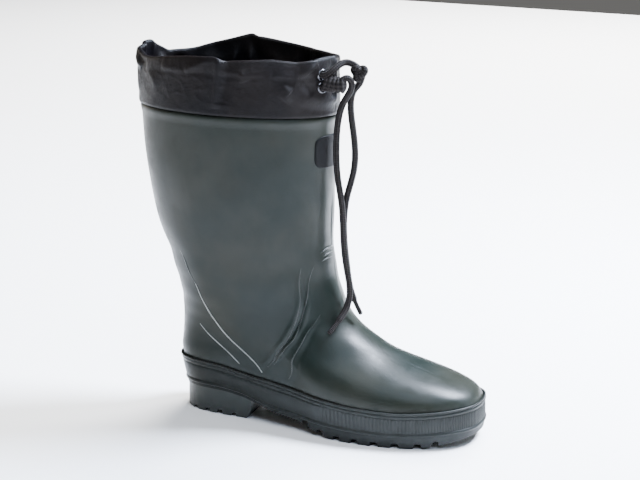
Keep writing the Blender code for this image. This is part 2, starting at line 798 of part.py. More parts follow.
def make_outsole(finish):
    """The full-length outsole: thin over heel and waist, lugged under the forefoot."""
    ways = np.linspace(0.03, 0.985, STATION_COUNT)
    sections = []
    for way in ways:
        along = along_of(way)
        sections.append(sole_section(way, underside(along), UNDER["recess"](along) * SHANK_RECESS))
    points, faces = lofted_bar(sections)
    sole = add_object("outsole", mesh_of("outsole", points, faces), finish)
    for i in range(GROOVE_COUNT):
        x = FIRST_GROOVE + i * GROOVE_PITCH
        if x > SOLE_LENGTH - GROOVE_PITCH:
            break
        floor = underside(x / SOLE_LENGTH) + GROOVE_DEPTH
        cutter = zigzag_cutter(x, floor, BALL_WIDTH, finish, f"groove_{i + 1}")
        join_by(sole, cutter, "DIFFERENCE")
    return sole


def make_heel(finish):
    """The heel block, tapered towards the ground, with a bevelled breast and a tread groove."""
    breast = HEEL_LENGTH / SOLE_LENGTH
    last_way = np.arccos(1 - 2 * breast) / np.pi
    sections = []
    for way in np.linspace(0.05, last_way, 11):
        along = along_of(way)
        x = along * SOLE_LENGTH
        half = outline_half(way)
        top = foot_of_band(along) - WAIST_THICKNESS - CLEARANCE
        centre = outline_centre(way)
        rows = ((half - HEEL_INSET, top), (half - HEEL_INSET - HEEL_TAPER, 0.0))
        right = [(x, centre + y, z) for y, z in rows]
        left = [(x, centre - y, z) for y, z in rows[::-1]]
        sections.append(np.array(right + left))
    points, faces = lofted_bar(sections)
    block = add_object("heel", mesh_of("heel", points, faces), finish)
    cutter = zigzag_cutter(HEEL_GROOVE_PLACE, HEEL_GROOVE_DEPTH, HEEL_WIDTH, finish, "heel_groove")
    join_by(block, cutter, "DIFFERENCE")
    x = HEEL_LENGTH - HEEL_BEVEL
    profile = ((x, -HEEL_BEVEL), (x, 0.0), (HEEL_LENGTH, 2 * HEEL_BEVEL), (x + 4 * HEEL_BEVEL, 0.0))
    ends = [np.array([(x, y, z) for x, z in profile]) for y in (-HEEL_WIDTH, HEEL_WIDTH)]
    points, faces = lofted_bar(ends)
    join_by(block, add_object("breast_bevel", mesh_of("breast_bevel", points, faces), finish), "DIFFERENCE")
    return block


def make_insole(finish):
    """The foot bed inside the upper."""
    around = places(AROUND_COUNT)
    rim = feather(around, -UPPER_WALL - CLEARANCE)
    top = feather(around, -UPPER_WALL - CLEARANCE) + np.array([0, 0, INSOLE_THICKNESS])
    count = len(around)
    points = np.vstack([rim, top])
    faces = [(i, (i + 1) % count, (i + 1) % count + count, i + count) for i in range(count)]
    for start in (0, count):
        faces.append((start, start + 1, start + count - 1))
        for i in range(1, count // 2):
            a, b = start + i, start + count - i
            faces.append((a, a + 1, b - 1, b) if a + 1 != b - 1 else (a, a + 1, b))
    return add_object("insole", mesh_of("insole", points, faces), finish)


# Cuff

RIM = curves_of(CUFF_RIM, "around")
CUFF_FACE = curves_of(CUFF_OUTSIDE, "up", steady)


def cuff_ring(around, row):
    """One ring of the cuff's wall."""
    base = skin(around, 1.0)
    normal = skin_normal(around, np.ones(len(around)))
    normal[:, 2] = 0
    normal /= np.linalg.norm(normal, axis=1, keepdims=True)
    rise = row.up * CUFF_HEIGHT * (1 + row.fold * RIM["rise"](around))
    out = row.out * CUFF_WALL + row.fold * RIM["lean"](around) * CUFF_HEIGHT
    place = base + normal * out[:, None]
    place[:, 2] = COLLAR_HEIGHT + CLEARANCE + rise
    return place


def make_cuff(finish):
    """The gathered fabric cuff: its hem sits outside the step of the upper, and its rim is rolled."""
    around = places(AROUND_COUNT)
    seat = shell(around, 1.0, -COLLAR_STEP + CLEARANCE) + np.array([0, 0, CLEARANCE])
    rings = [cuff_ring(around, row) for row in CUFF_OUTSIDE + CUFF_INSIDE]
    rings.append(seat + np.array([0, 0, CUFF_OVERLAP + CLEARANCE]))
    rings.append(seat)
    points, faces = ring_shell(rings)
    return add_object("cuff", mesh_of("cuff", points, faces), finish)


# Trim

# Fineness of the badge plate: cells around, cells up, and the power of its rounded outline. Its last cells
# end a little before the outline's tips.
PLATE_CELLS = 14
PLATE_ROWS = 4
PLATE_POWER = 5
PLATE_END = 0.985


def make_badge_plate(finish):
    """The bare raised plate on the front of the shaft."""
    across = np.linspace(-1, 1, PLATE_CELLS + 1) * PLATE_END
    rise = np.linspace(-1, 1, PLATE_ROWS + 1)
    span, row = np.meshgrid(across, rise, indexing="ij")
    tall_here = row * (1 - np.abs(span) ** PLATE_POWER) ** (1 / PLATE_POWER)
    level = level_at(COLLAR_HEIGHT - PLATE_BELOW_COLLAR + PLATE_HEIGHT / 2 * tall_here)
    around = span * PLATE_WIDTH / (2 * np.pi * SHAFT_WIDTH)
    low, high = (shell(around, level, out) for out in (CLEARANCE * 1.5, CLEARANCE * 1.5 + PLATE_THICKNESS))
    points = np.vstack([low.reshape(-1, 3), high.reshape(-1, 3)])
    wide, tall = PLATE_CELLS + 1, PLATE_ROWS + 1
    layer = wide * tall
    faces = []
    for i in range(PLATE_CELLS):
        for j in range(PLATE_ROWS):
            a, b = i * tall + j, (i + 1) * tall + j
            faces.append((a, a + 1, b + 1, b))
            faces.append((a + layer, b + layer, b + layer + 1, a + layer + 1))
    bottom = [i * tall for i in range(wide)]
    end = [(wide - 1) * tall + j for j in range(tall)]
    edge = bottom + end[1:] + [i + tall - 1 for i in bottom[-2::-1]] + list(range(tall - 2, 0, -1))
    for a, b in zip(edge, edge[1:] + edge[:1]):
        faces.append((a, b, b + layer, a + layer))
    return add_object("badge_plate", mesh_of("badge_plate", points, faces), finish)


def eyelet_seat(height):
    """Centre and outward normal of an eyelet at a height."""
    around = np.array([EYELET_AROUND])
    up = (height - COLLAR_HEIGHT) / CUFF_HEIGHT
    face = cuff_ring(around, CuffRow(up, CUFF_FACE["out"](up), CUFF_FACE["fold"](up)))[0]
    normal = skin_normal(around, np.ones(1))[0] * np.array([1, 1, 0])
    normal /= np.linalg.norm(normal)
    face[2] = height
    return face + normal * (EYELET_TUBE + CLEARANCE), normal


def make_eyelet(name, height, finish):
    """A ring on the cuff where the drawcord comes out."""
    centre, normal = eyelet_seat(height)
    side = np.cross(normal, (0, 0, 1))
    turn = 2 * np.pi * places(EYELET_STEPS)
    rings = []
    for angle in 2 * np.pi * places(TUBE_STEPS):
        reach = EYELET_RADIUS + EYELET_TUBE * np.cos(angle)
        plan = reach * (np.cos(turn)[:, None] * side + np.sin(turn)[:, None] * np.array([0, 0, 1]))
        rings.append(centre + plan + normal * EYELET_TUBE * np.sin(angle))
    points, faces = ring_shell(rings)
    return add_object(name, mesh_of(name, points, faces), finish)


def smooth_route(route, before):
    """Close places along a smooth curve through places before a route and the route's own points."""
    collar = skin(0.0, 1.0)
    own = [(collar[0] + p.ahead, p.aside, COLLAR_HEIGHT + p.rise) for p in route]
    chosen = np.array([*before, *own])
    run = np.concatenate([[0], np.cumsum(np.linalg.norm(np.diff(chosen, axis=0), axis=1))])
    steps = np.linspace(0, run[-1], int(run[-1] / CLEARANCE))
    return np.stack([spline(run, chosen[:, axis])(steps) for axis in range(3)], axis=-1)


def make_cord(name, points, radius, finish):
    """A round cord along points, with closed ends."""
    curve = bpy.data.curves.new(name, "CURVE")
    curve.dimensions = "3D"
    curve.bevel_depth = radius
    curve.bevel_resolution = 2
    curve.use_fill_caps = True
    run = curve.splines.new("POLY")
    run.points.add(len(points) - 1)
    for place, point in zip(run.points, points):
        place.co = (*point, 1.0)
    return add_object(name, curve, finish)


def make_drawcord(side, route, height, colour):
    """One end of the drawcord, from its eyelet through the knot to its thin tip, in pieces that meet."""
    centre, normal = eyelet_seat(height)
    fine = smooth_route(route, (centre - normal * EYELET_TUBE / 2, centre + normal * CORD_RADIUS))
    run = np.concatenate([[0], np.cumsum(np.linalg.norm(np.diff(fine, axis=0), axis=1))])
    ends = (0.0, LOOP_LENGTH, run[-1] - TIP_LENGTH, run[-1])
    kinds = (
        ("loop", CORD_RADIUS, LOOP_SPACING),
        ("strand", CORD_RADIUS, STRAND_SPACING),
        ("tip", TIP_RADIUS, STRAND_SPACING),
    )
    made = []
    for (kind, radius, spacing), first, last in zip(kinds, ends, ends[1:]):
        count = 1 + int(np.ceil((last - first) / (spacing * radius)))
        start = first + CLEARANCE * (first > 0)
        straight = radius / 4
        steps = [start, *np.linspace(start + straight, last - straight, count), last]
        points = np.stack([np.interp(steps, run, fine[:, axis]) for axis in range(3)], axis=-1)
        name = f"cord_{kind}_{side}"
        made.append(make_cord(name, points, radius, finish_of(f"{name}_polyester", colour, CORD_ROUGHNESS)))
    return made


# Assembly


def clear_scene():
    """Remove what the scene held."""
    for old in list(bpy.data.objects):
        bpy.data.objects.remove(old, do_unlink=True)


def set_down(pieces):
    """Parent the pieces to a root empty and bring the middle of their footprint to the origin."""
    root = bpy.data.objects.new("boot", None)
    bpy.context.scene.collection.objects.link(root)
    bpy.context.view_layer.update()
    corners = np.array([piece.matrix_world @ Vector(c) for piece in pieces for c in piece.bound_box])
    low, high = corners.min(axis=0), corners.max(axis=0)
    for made in bpy.context.scene.collection.objects:
        if made is not root:
            made.parent = root
    root.location = (-(low[0] + high[0]) / 2, -(low[1] + high[1]) / 2, -low[2])


def main():
    """Build the boot."""
    clear_scene()
    pieces = [
        make_upper(finish_of("green_rubber", GREEN, SATIN)),
        make_band(finish_of("band_rubber", DARK_GREEN, MATT)),
        make_outsole(finish_of("sole_rubber", DARK_GREEN, MATT)),
        make_heel(finish_of("heel_rubber", DARK_GREEN, MATT)),
        make_insole(finish_of("felt", FELT_GREY, FIBROUS)),
        make_cuff(finish_of("nylon", NYLON_BLACK, SHEENY)),
        make_badge_plate(finish_of("plate_rubber", NYLON_BLACK, SHEENY)),
    ]
    for side, level, route in (("right", "upper", CORD_RIGHT), ("left", "lower", CORD_LEFT)):
        height = COLLAR_HEIGHT + EYELET_UP_CUFF * CUFF_HEIGHT - EYELET_PITCH * (level == "lower")
        steel = finish_of(f"eyelet_{level}_steel", STEEL_GREY, STEEL_ROUGHNESS)
        pieces.append(make_eyelet(f"eyelet_{level}", height, steel))
        pieces += make_drawcord(side, route, height, CORD_BLACK)
    set_down(pieces)


main()
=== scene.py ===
"""Looks of a knee-high rubber work boot: its fine shapes, its finishes, the studio and the camera.

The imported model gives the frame. Each sub-assembly is a class that keeps its own sizes, builds its
meshes in the boot's own shape and dresses them. Lengths are in metres. A place on the boot is given by
two numbers. "around" runs once round the foot, along the inner side first: 0 at the toe and 0.5 at the
back of the heel. "level" goes up the upper: 0 at the top of the band and 1 at the collar.
"""

import logging
import math
from dataclasses import dataclass
from enum import Enum
from typing import Callable, NamedTuple, Sequence

import bmesh
import bpy
import numpy as np
from mathutils import Matrix, Quaternion, Vector


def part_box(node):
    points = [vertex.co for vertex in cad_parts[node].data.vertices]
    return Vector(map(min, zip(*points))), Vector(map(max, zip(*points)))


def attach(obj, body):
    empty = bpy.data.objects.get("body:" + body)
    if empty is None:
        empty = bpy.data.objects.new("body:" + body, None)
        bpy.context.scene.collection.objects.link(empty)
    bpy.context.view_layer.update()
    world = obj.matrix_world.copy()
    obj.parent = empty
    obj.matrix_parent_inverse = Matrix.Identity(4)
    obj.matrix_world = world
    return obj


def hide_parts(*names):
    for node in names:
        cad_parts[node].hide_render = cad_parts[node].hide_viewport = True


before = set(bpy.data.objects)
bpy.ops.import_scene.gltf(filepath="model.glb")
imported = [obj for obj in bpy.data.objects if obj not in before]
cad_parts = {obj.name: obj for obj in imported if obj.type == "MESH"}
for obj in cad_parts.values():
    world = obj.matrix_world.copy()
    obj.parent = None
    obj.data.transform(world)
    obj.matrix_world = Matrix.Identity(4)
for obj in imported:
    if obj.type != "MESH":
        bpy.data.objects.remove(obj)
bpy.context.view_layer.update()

LOG = logging.getLogger("boot")
Array = np.ndarray
Colour = tuple[float, float, float]
Curve = Callable[[Array], Array]


# Curves


def spline(xs: Sequence[float], ys: Sequence[float]) -> Curve:
    """The natural cubic spline through values.

    Args:
        xs: Places of the values, rising.
        ys: The values.

    Returns:
        A function of the place.
    """
    xs = np.asarray(xs, float)
    ys = np.asarray(ys, float)
    step = np.diff(xs)
    system = np.eye(len(xs))
    right = np.zeros(len(xs))
    for i in range(1, len(xs) - 1):
        system[i, i - 1 : i + 2] = step[i - 1], 2 * (step[i - 1] + step[i]), step[i]
        right[i] = 6 * ((ys[i + 1] - ys[i]) / step[i] - (ys[i] - ys[i - 1]) / step[i - 1])
    bend = np.linalg.solve(system, right)

    def value(x: Array) -> Array:
        i = np.clip(np.searchsorted(xs, x, side="right") - 1, 0, len(xs) - 2)
        b = (x - xs[i]) / step[i]
        a = 1 - b
        curved = ((a**3 - a) * bend[i] + (b**3 - b) * bend[i + 1]) * step[i] ** 2 / 6
        return a * ys[i] + b * ys[i + 1] + curved

    return value


def steady(xs: Sequence[float], ys: Sequence[float]) -> Curve:
    """A smooth curve through values that never leaves the span of its two neighbours.

    Args:
        xs: Places of the values, rising.
        ys: The values.

    Returns:
        A function of the place.
    """
    xs = np.asarray(xs, float)
    ys = np.asarray(ys, float)
    step = np.diff(xs)
    slope = np.diff(ys) / step
    at = np.zeros(len(xs))
    same = slope[1:] * slope[:-1] > 0
    at[1:-1][same] = 2 * slope[1:][same] * slope[:-1][same] / (slope[1:] + slope[:-1])[same]
    at[0], at[-1] = slope[0], slope[-1]

    def value(x: Array) -> Array:
        x = np.clip(x, xs[0], xs[-1])
        i = np.clip(np.searchsorted(xs, x, side="right") - 1, 0, len(xs) - 2)
        t = (x - xs[i]) / step[i]
        rise = t * t * (3 - 2 * t)
        ends = step[i] * (at[i] * t * (1 - t) ** 2 - at[i + 1] * t * t * (1 - t))
        return ys[i] + (ys[i + 1] - ys[i]) * rise + ends

    return value


def curves_of(table: Sequence[NamedTuple], across: str, kind: Callable = spline) -> dict[str, Curve]:
    """A curve for every column of a table over one of its columns.

    Args:
        table: Rows of one named tuple.
        across: Name of the column that the curves run over.
        kind: spline or steady.

    Returns:
        The curves by column name.
    """
    xs = [getattr(row, across) for row in table]
    names = [name for name in table[0]._fields if name != across]
    return {name: kind(xs, [getattr(row, name) for row in table]) for name in names}


def bent(table: Sequence[NamedTuple], soft: float = 0.004) -> Curve:
    """A curve of straight runs round the boot, its corners eased a little.

    Args:
        table: Rows of a place around and a value.
        soft: How far around a corner is eased.

    Returns:
        A function of the place around.
    """
    xs, ys = (np.array(column) for column in zip(*table))

    def value(around: Array) -> Array:
        shifts = np.linspace(-soft, soft, 5)
        return sum(np.interp((np.asarray(around) + shift) % 1, xs, ys) for shift in shifts) / len(shifts)

    return value


def ridged(x: Array, y: Array, seed: float) -> Array:
    """A crinkled wave over two coordinates, with sharp crests and soft hollows between 0 and 1."""
    return (1 - np.abs(ripple(x, y, seed))) ** 3


def smooth_step(x: Array, low: float, high: float) -> Array:
    """A soft rise from 0 at low to 1 at high."""
    t = np.clip((x - low) / (high - low), 0, 1)
    return t * t * (3 - 2 * t)


def ripple(x: Array, y: Array, seed: float) -> Array:
    """A smooth uneven wave over two coordinates.

    Args:
        x: First coordinate, in waves.
        y: Second coordinate, in waves.
        seed: Shifts the pattern.

    Returns:
        Values between about -1 and 1.
    """
    tau = 2 * np.pi
    first = np.sin(tau * (x * 0.83 + y * 0.41) + seed)
    first = first * np.cos(tau * (y * 0.92 - x * 0.27) + 2.1 * seed)
    second = np.sin(tau * (x * 1.71 - y * 0.63) + 3.7 * seed)
    second = second * np.cos(tau * (y * 1.37 + x * 0.55) + 0.7 * seed)
    return 0.62 * first + 0.38 * second


# Tables of the boot's shape


class OutlineRow(NamedTuple):
    """Half outline of the sole: way from heel to toe, half-width, share of the heel's width, centre."""

    way: float
    half: float
    of_heel: float
    centre: float


class HeightRow(NamedTuple):
    """Heights along the sole: shares of the heel's rise, the toe spring and the band's height."""

    along: float
    heel: float
    spring: float
    band: float


class LoopRow(NamedTuple):
    """One loop of the foot, in shares of the boot's sizes."""

    back_up: float
    front_up: float
    back: float
    front: float
    half: float
    oval: float
    full: float
    follow: float
    lean: float


class ShaftRow(NamedTuple):
    """One loop of the shaft, in shares of its sizes."""

    up: float
    back: float
    length: float
    half: float
    full: float


class RimRow(NamedTuple):
    """Rim of the solid cuff, which the eyelets sit under: its lean as a share of the cuff's height."""

    around: float
    lean: float


class CuffRow(NamedTuple):
    """Wall of the solid cuff: height share, standing out in walls, share of the rim's lean."""

    up: float
    out: float
    fold: float


SOLE_OUTLINE = (
    OutlineRow(0.00, 0.000, 1.0, 0.000),
    OutlineRow(0.10, 0.310, 1.0, 0.000),
    OutlineRow(0.20, 0.468, 1.0, 0.000),
    OutlineRow(0.30, 0.500, 1.0, -0.006),
    OutlineRow(0.35, 0.484, 0.9, -0.016),
    OutlineRow(0.40, 0.440, 0.6, -0.030),
    OutlineRow(0.45, 0.400, 0.2, -0.032),
    OutlineRow(0.50, 0.446, 0.0, -0.020),
    OutlineRow(0.55, 0.482, 0.0, -0.014),
    OutlineRow(0.60, 0.500, 0.0, -0.003),
    OutlineRow(0.70, 0.473, 0.0, 0.018),
    OutlineRow(0.80, 0.388, 0.0, 0.038),
    OutlineRow(0.90, 0.240, 0.0, 0.047),
    OutlineRow(0.95, 0.142, 0.0, 0.053),
    OutlineRow(1.00, 0.000, 0.0, 0.058),
)

SOLE_LINE = (
    HeightRow(0.00, 0.95, 0.00, 1.06),
    HeightRow(0.06, 1.04, 0.00, 1.02),
    HeightRow(0.14, 1.06, 0.00, 0.96),
    HeightRow(0.23, 0.88, 0.00, 0.92),
    HeightRow(0.29, 0.60, 0.00, 1.02),
    HeightRow(0.35, 0.34, 0.00, 1.14),
    HeightRow(0.44, 0.18, 0.00, 1.12),
    HeightRow(0.55, 0.07, 0.00, 1.04),
    HeightRow(0.65, 0.00, 0.00, 0.98),
    HeightRow(0.77, 0.00, 0.00, 0.92),
    HeightRow(0.84, 0.00, 0.10, 0.92),
    HeightRow(0.90, 0.00, 0.24, 0.92),
    HeightRow(0.96, 0.00, 0.38, 0.93),
    HeightRow(1.00, 0.00, 0.44, 0.94),
)

FOOT_LOOPS = (
    LoopRow(0.000, 0.000, -0.0165, 0.9900, 0.483, 0.00, 0.00, 1.00, 1.00),
    LoopRow(0.078, 0.062, -0.0209, 0.9730, 0.476, 0.03, 0.04, 0.86, 1.00),
    LoopRow(0.144, 0.112, -0.0209, 0.9420, 0.460, 0.08, 0.05, 0.66, 1.00),
    LoopRow(0.211, 0.160, -0.0199, 0.8920, 0.436, 0.15, 0.06, 0.46, 0.95),
    LoopRow(0.278, 0.208, -0.0191, 0.8270, 0.410, 0.25, 0.07, 0.30, 0.88),
    LoopRow(0.344, 0.257, -0.0188, 0.7630, 0.388, 0.38, 0.07, 0.18, 0.80),
    LoopRow(0.417, 0.320, -0.0188, 0.7019, 0.372, 0.52, 0.07, 0.10, 0.70),
    LoopRow(0.489, 0.405, -0.0196, 0.6500, 0.364, 0.66, 0.06, 0.05, 0.58),
    LoopRow(0.567, 0.497, -0.0212, 0.6000, 0.363, 0.78, 0.06, 0.02, 0.45),
    LoopRow(0.645, 0.600, -0.0239, 0.5623, 0.367, 0.88, 0.05, 0.00, 0.34),
    LoopRow(0.733, 0.718, -0.0290, 0.5348, 0.376, 0.95, 0.05, 0.00, 0.24),
    LoopRow(0.845, 0.852, -0.0387, 0.5155, 0.388, 1.00, 0.04, 0.00, 0.15),
    LoopRow(1.000, 1.000, -0.0550, 0.4971, 0.404, 1.00, 0.04, 0.00, 0.08),
)

SHAFT_LOOPS = (
    ShaftRow(0.095, 0.390, 0.858, 0.398, 0.03),
    ShaftRow(0.215, 0.560, 0.888, 0.420, 0.03),
    ShaftRow(0.390, 0.735, 0.932, 0.448, 0.02),
    ShaftRow(0.590, 0.862, 0.964, 0.472, 0.02),
    ShaftRow(0.795, 0.946, 0.985, 0.490, 0.01),
    ShaftRow(1.000, 1.000, 1.000, 0.500, 0.01),
)

CUFF_RIM = (
    RimRow(0.00, -0.02),
    RimRow(0.06, 0.03),
    RimRow(0.14, -0.03),
    RimRow(0.22, 0.02),
    RimRow(0.30, -0.02),
    RimRow(0.38, 0.03),
    RimRow(0.46, 0.00),
    RimRow(0.53, 0.02),
    RimRow(0.60, 0.01),
    RimRow(0.66, -0.03),
    RimRow(0.73, 0.00),
    RimRow(0.81, 0.02),
    RimRow(0.88, -0.02),
    RimRow(0.95, -0.04),
    RimRow(1.00, -0.02),
)


@dataclass(frozen=True)
class BootForm:
    """The boot's own shape: every piece is placed on it by around and level."""

    sole_length: float = 0.2945
    ball_width: float = 0.117
    heel_width: float = 0.074
    heel_rise: float = 0.0285
    forefoot_rise: float = 0.0115
    toe_spring: float = 0.0105
    band_height: float = 0.024
    instep_height: float = 0.143
    collar_height: float = 0.297
    shaft_length: float = 0.191
    shaft_width: float = 0.124
    shaft_setback: float = 0.0510
    cuff_height: float = 0.054
    clearance: float = 0.0003
    upper_wall: float = 0.0028
    band_wall: float = 0.0040
    band_lip: float = 0.0020
    heel_start: float = 0.05

    def __post_init__(self) -> None:
        """Work out the curves of the tables once."""
        keep = object.__setattr__
        keep(self, "outline", curves_of(SOLE_OUTLINE, "way"))
        keep(self, "line", curves_of(SOLE_LINE, "along", steady))
        keep(self, "rim", curves_of(CUFF_RIM, "around"))
        keep(self, "loops", self._loop_curves())

    def _loop_curves(self) -> dict[str, Curve]:
        """The loops of foot and shaft in real sizes.

        Returns:
            Curves over the level, by name.
        """
        heel, toe = self.head_of_band(0.0), self.head_of_band(1.0)
        rows = []
        for loop in FOOT_LOOPS:
            rows.append(
                dict(
                    back_z=heel + loop.back_up * (self.instep_height - heel),
                    front_z=toe + loop.front_up * (self.instep_height - toe),
                    back=loop.back * self.sole_length,
                    front=loop.front * self.sole_length,
                    half=loop.half * self.ball_width,
                    oval=loop.oval,
                    full=loop.full,
                    follow=loop.follow,
                    lean=loop.lean,
                )
            )
        for loop in SHAFT_LOOPS:
            height = self.instep_height + loop.up * (self.collar_height - self.instep_height)
            back = -loop.back * self.shaft_setback
            front = back + loop.length * self.shaft_length
            half = loop.half * self.shaft_width
            flat = dict(oval=1.0, full=loop.full, follow=0.0, lean=0.0)
            rows.append(dict(back_z=height, front_z=height, back=back, front=front, half=half, **flat))
        levels = np.linspace(0, 1, len(rows))
        return {name: spline(levels, [row[name] for row in rows]) for name in rows[0]}

    @property
    def shift(self) -> Array:
        """Step from the sole's own corner, at the back of the heel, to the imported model's frame."""
        low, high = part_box("heel")
        first = self.sole_length * self.along_of(self.heel_start)
        return np.array([low.x - first, 0.0, 0.0])

    def outline_half(self, way: Array) -> Array:
        """Half-width of the sole at a way."""
        of_heel = np.clip(self.outline["of_heel"](way), 0, 1)
        return self.outline["half"](way) * (self.ball_width + of_heel * (self.heel_width - self.ball_width))

    def outline_centre(self, way: Array) -> Array:
        """Middle line of the sole at a way."""
        return self.outline["centre"](way) * self.ball_width

    @staticmethod
    def way_and_side(around: Array) -> tuple[Array, Array]:
        """Way from heel to toe and side, 1 inner or -1 outer, of places around the foot."""
        turned = (np.asarray(around, float) + 0.5) % 1 - 0.5
        return 1 - 2 * np.abs(turned), np.where(turned < 0, -1.0, 1.0)

    @staticmethod
    def along_of(way: Array) -> Array:
        """Share of a loop's length that is passed at a way."""
        return (1 - np.cos(np.pi * way)) / 2

    def foot_of_band(self, along: Array) -> Array:
        """Height of the band's foot."""
        rise = self.line["heel"](along) * (self.heel_rise - self.forefoot_rise)
        return self.forefoot_rise + rise + self.line["spring"](along) * self.toe_spring

    def head_of_band(self, along: Array) -> Array:
        """Height of the band's top edge."""
        return self.foot_of_band(along) + self.line["band"](along) * self.band_height

    def sole_outline(self, around: Array, out: float = 0.0) -> Array:
        """Plan of the sole's edge, moved out by a length.

        Args:
            around: Places around the foot.
            out: How far outwards.

        Returns:
            x and y of each place.
        """

        def edge(place: Array) -> Array:
            way, side = self.way_and_side(place)
            x = self.sole_length * self.along_of(way)
            return np.stack([x, self.outline_centre(way) + side * self.outline_half(way)], axis=-1)

        around = np.asarray(around, float)
        reach = 0.004
        tangent = edge(around + reach) - edge(around - reach)
        tangent /= np.linalg.norm(tangent, axis=-1, keepdims=True)
        return edge(around) + out * np.stack([tangent[..., 1], -tangent[..., 0]], axis=-1)

    def skin(self, around: Array, level: Array) -> Array:
        """Points on the upper's outer face, in the sole's own frame.

        Args:
            around: Places around the foot.
            level: Levels, of the same shape or one number.

        Returns:
            Points, with x, y and z last.
        """
        around, level = np.broadcast_arrays(np.asarray(around, float), np.asarray(level, float))
        at = {name: curve(level) for name, curve in self.loops.items()}
        way, side = self.way_and_side(around)
        along = self.along_of(way)
        like_sole = self.outline_half(way) * 2 / self.ball_width
        oval = (np.sin(np.pi * way) + at["full"] * np.sin(3 * np.pi * way)) / (1 - at["full"])
        across = like_sole + at["oval"] * (oval - like_sole)
        heel, toe = self.head_of_band(0.0), self.head_of_band(1.0)
        dip = at["follow"] * (self.head_of_band(along) - heel - along * (toe - heel))
        x = at["back"] + (at["front"] - at["back"]) * along
        y = at["lean"] * self.outline_centre(way) + side * at["half"] * across
        z = at["back_z"] + (at["front_z"] - at["back_z"]) * along + dip
        return np.stack([x, y, z], axis=-1)

    def normal(self, around: Array, level: Array) -> Array:
        """Outward normals of the upper's outer face.

        Args:
            around: Places around the foot.
            level: Levels.

        Returns:
            Unit normals, with x, y and z last.
        """
        reach = 0.004
        level = np.clip(level, 0, 1)
        across = self.skin(around + reach, level) - self.skin(around - reach, level)
        up = self.skin(around, np.minimum(level + reach, 1)) - self.skin(around, np.maximum(level - reach, 0))
        normal = np.cross(across, up)
        return normal / np.linalg.norm(normal, axis=-1, keepdims=True)

    def shell(self, around: Array, level: Array, out: Array) -> Array:
        """Points out of the upper's outer face by a distance, in the sole's own frame."""
        out = np.asarray(out, float)[..., None]
        return self.skin(around, level) + out * self.normal(around, level)

    def feather(self, around: Array, out: float) -> Array:
        """The lower edge of the upper, inside the foot of the band."""
        plan = self.sole_outline(around, out - self.band_wall)
        return np.column_stack([plan, self.foot_of_band(plan[:, 0] / self.sole_length)])


# Meshes


def places(count: int) -> Array:
    """Even places around, starting at the toe."""
    return np.arange(count) / count


def piece_of(name: str, mesh: bpy.types.Mesh, form: BootForm) -> bpy.types.Object:
    """Make an object of a mesh built in the sole's own frame and let it ride.

    Args:
        name: The piece's name.
        mesh: Its mesh.
        form: The boot's shape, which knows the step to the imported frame.

    Returns:
        The object, at the origin, riding on the root body.
    """
    mesh.transform(Matrix.Translation(Vector(form.shift)))
    made = bpy.data.objects.new(name, mesh)
    bpy.context.scene.collection.objects.link(made)
    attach(made, "root")
    LOG.info("%s: %d faces", name, len(mesh.polygons))
    return made


def ring_mesh(name: str, rings: Array, joined: bool = True) -> bpy.types.Mesh:
    """A smooth mesh of closed rings, each joined to the next.

    Args:
        name: The mesh's name.
        rings: Points, first over the rings, then around.
        joined: Whether the last ring is joined to the first, which closes a hollow tube's wall.

    Returns:
        The mesh, with a layer "place" of around and row.
    """
    rows, count = rings.shape[:2]
    row, at = np.meshgrid(np.arange(rows if joined else rows - 1), np.arange(count), indexing="ij")
    after, beside = (row + 1) % rows, (at + 1) % count
    corners = [row * count + at, row * count + beside, after * count + beside, after * count + at]
    quads = np.stack(corners, axis=-1).reshape(-1, 4)
    mesh = bpy.data.meshes.new(name)
    mesh.vertices.add(rows * count)
    mesh.vertices.foreach_set("co", rings.reshape(-1).astype(np.float32))
    mesh.loops.add(quads.size)
    mesh.loops.foreach_set("vertex_index", quads.reshape(-1))
    mesh.polygons.add(len(quads))
    mesh.polygons.foreach_set("loop_start", np.arange(0, quads.size, 4))
    mesh.update(calc_edges=True)
    us = np.stack([at, at + 1, at + 1, at], axis=-1) / count
    vs = np.stack([row, row, row + 1, row + 1], axis=-1) / rows
    layer = mesh.uv_layers.new(name="place")
    layer.data.foreach_set("uv", np.stack([us, vs], axis=-1).reshape(-1).astype(np.float32))
    mesh.polygons.foreach_set("use_smooth", np.full(len(quads), True))
    mesh.validate()
    return mesh


def merged(name: str, meshes: Sequence[bpy.types.Mesh]) -> bpy.types.Mesh:
    """One mesh made of several, which are removed.

    Args:
        name: The new mesh's name.
        meshes: The meshes to join.

    Returns:
        The joined mesh.
    """
    whole = bmesh.new()
    for part in meshes:
        whole.from_mesh(part)
        bpy.data.meshes.remove(part)
    mesh = bpy.data.meshes.new(name)
    whole.to_mesh(mesh)
    whole.free()
    return mesh


def mark(mesh: bpy.types.Mesh, name: str, values: Array) -> None:
    """Keep a value per point on a mesh, for its finish to read."""
    layer = mesh.attributes.new(name, "FLOAT", "POINT")
    layer.data.foreach_set("value", np.asarray(values, np.float32).reshape(-1))


# Effects that several finishes share


class Effect(Enum):
    """Names of the shared effects."""

    MOTTLE = "uneven_tone"
    GRAIN = "fine_grain"
    WEAVE = "plain_weave"
    BRAID = "round_braid"
    DUST = "dust_in_hollows"


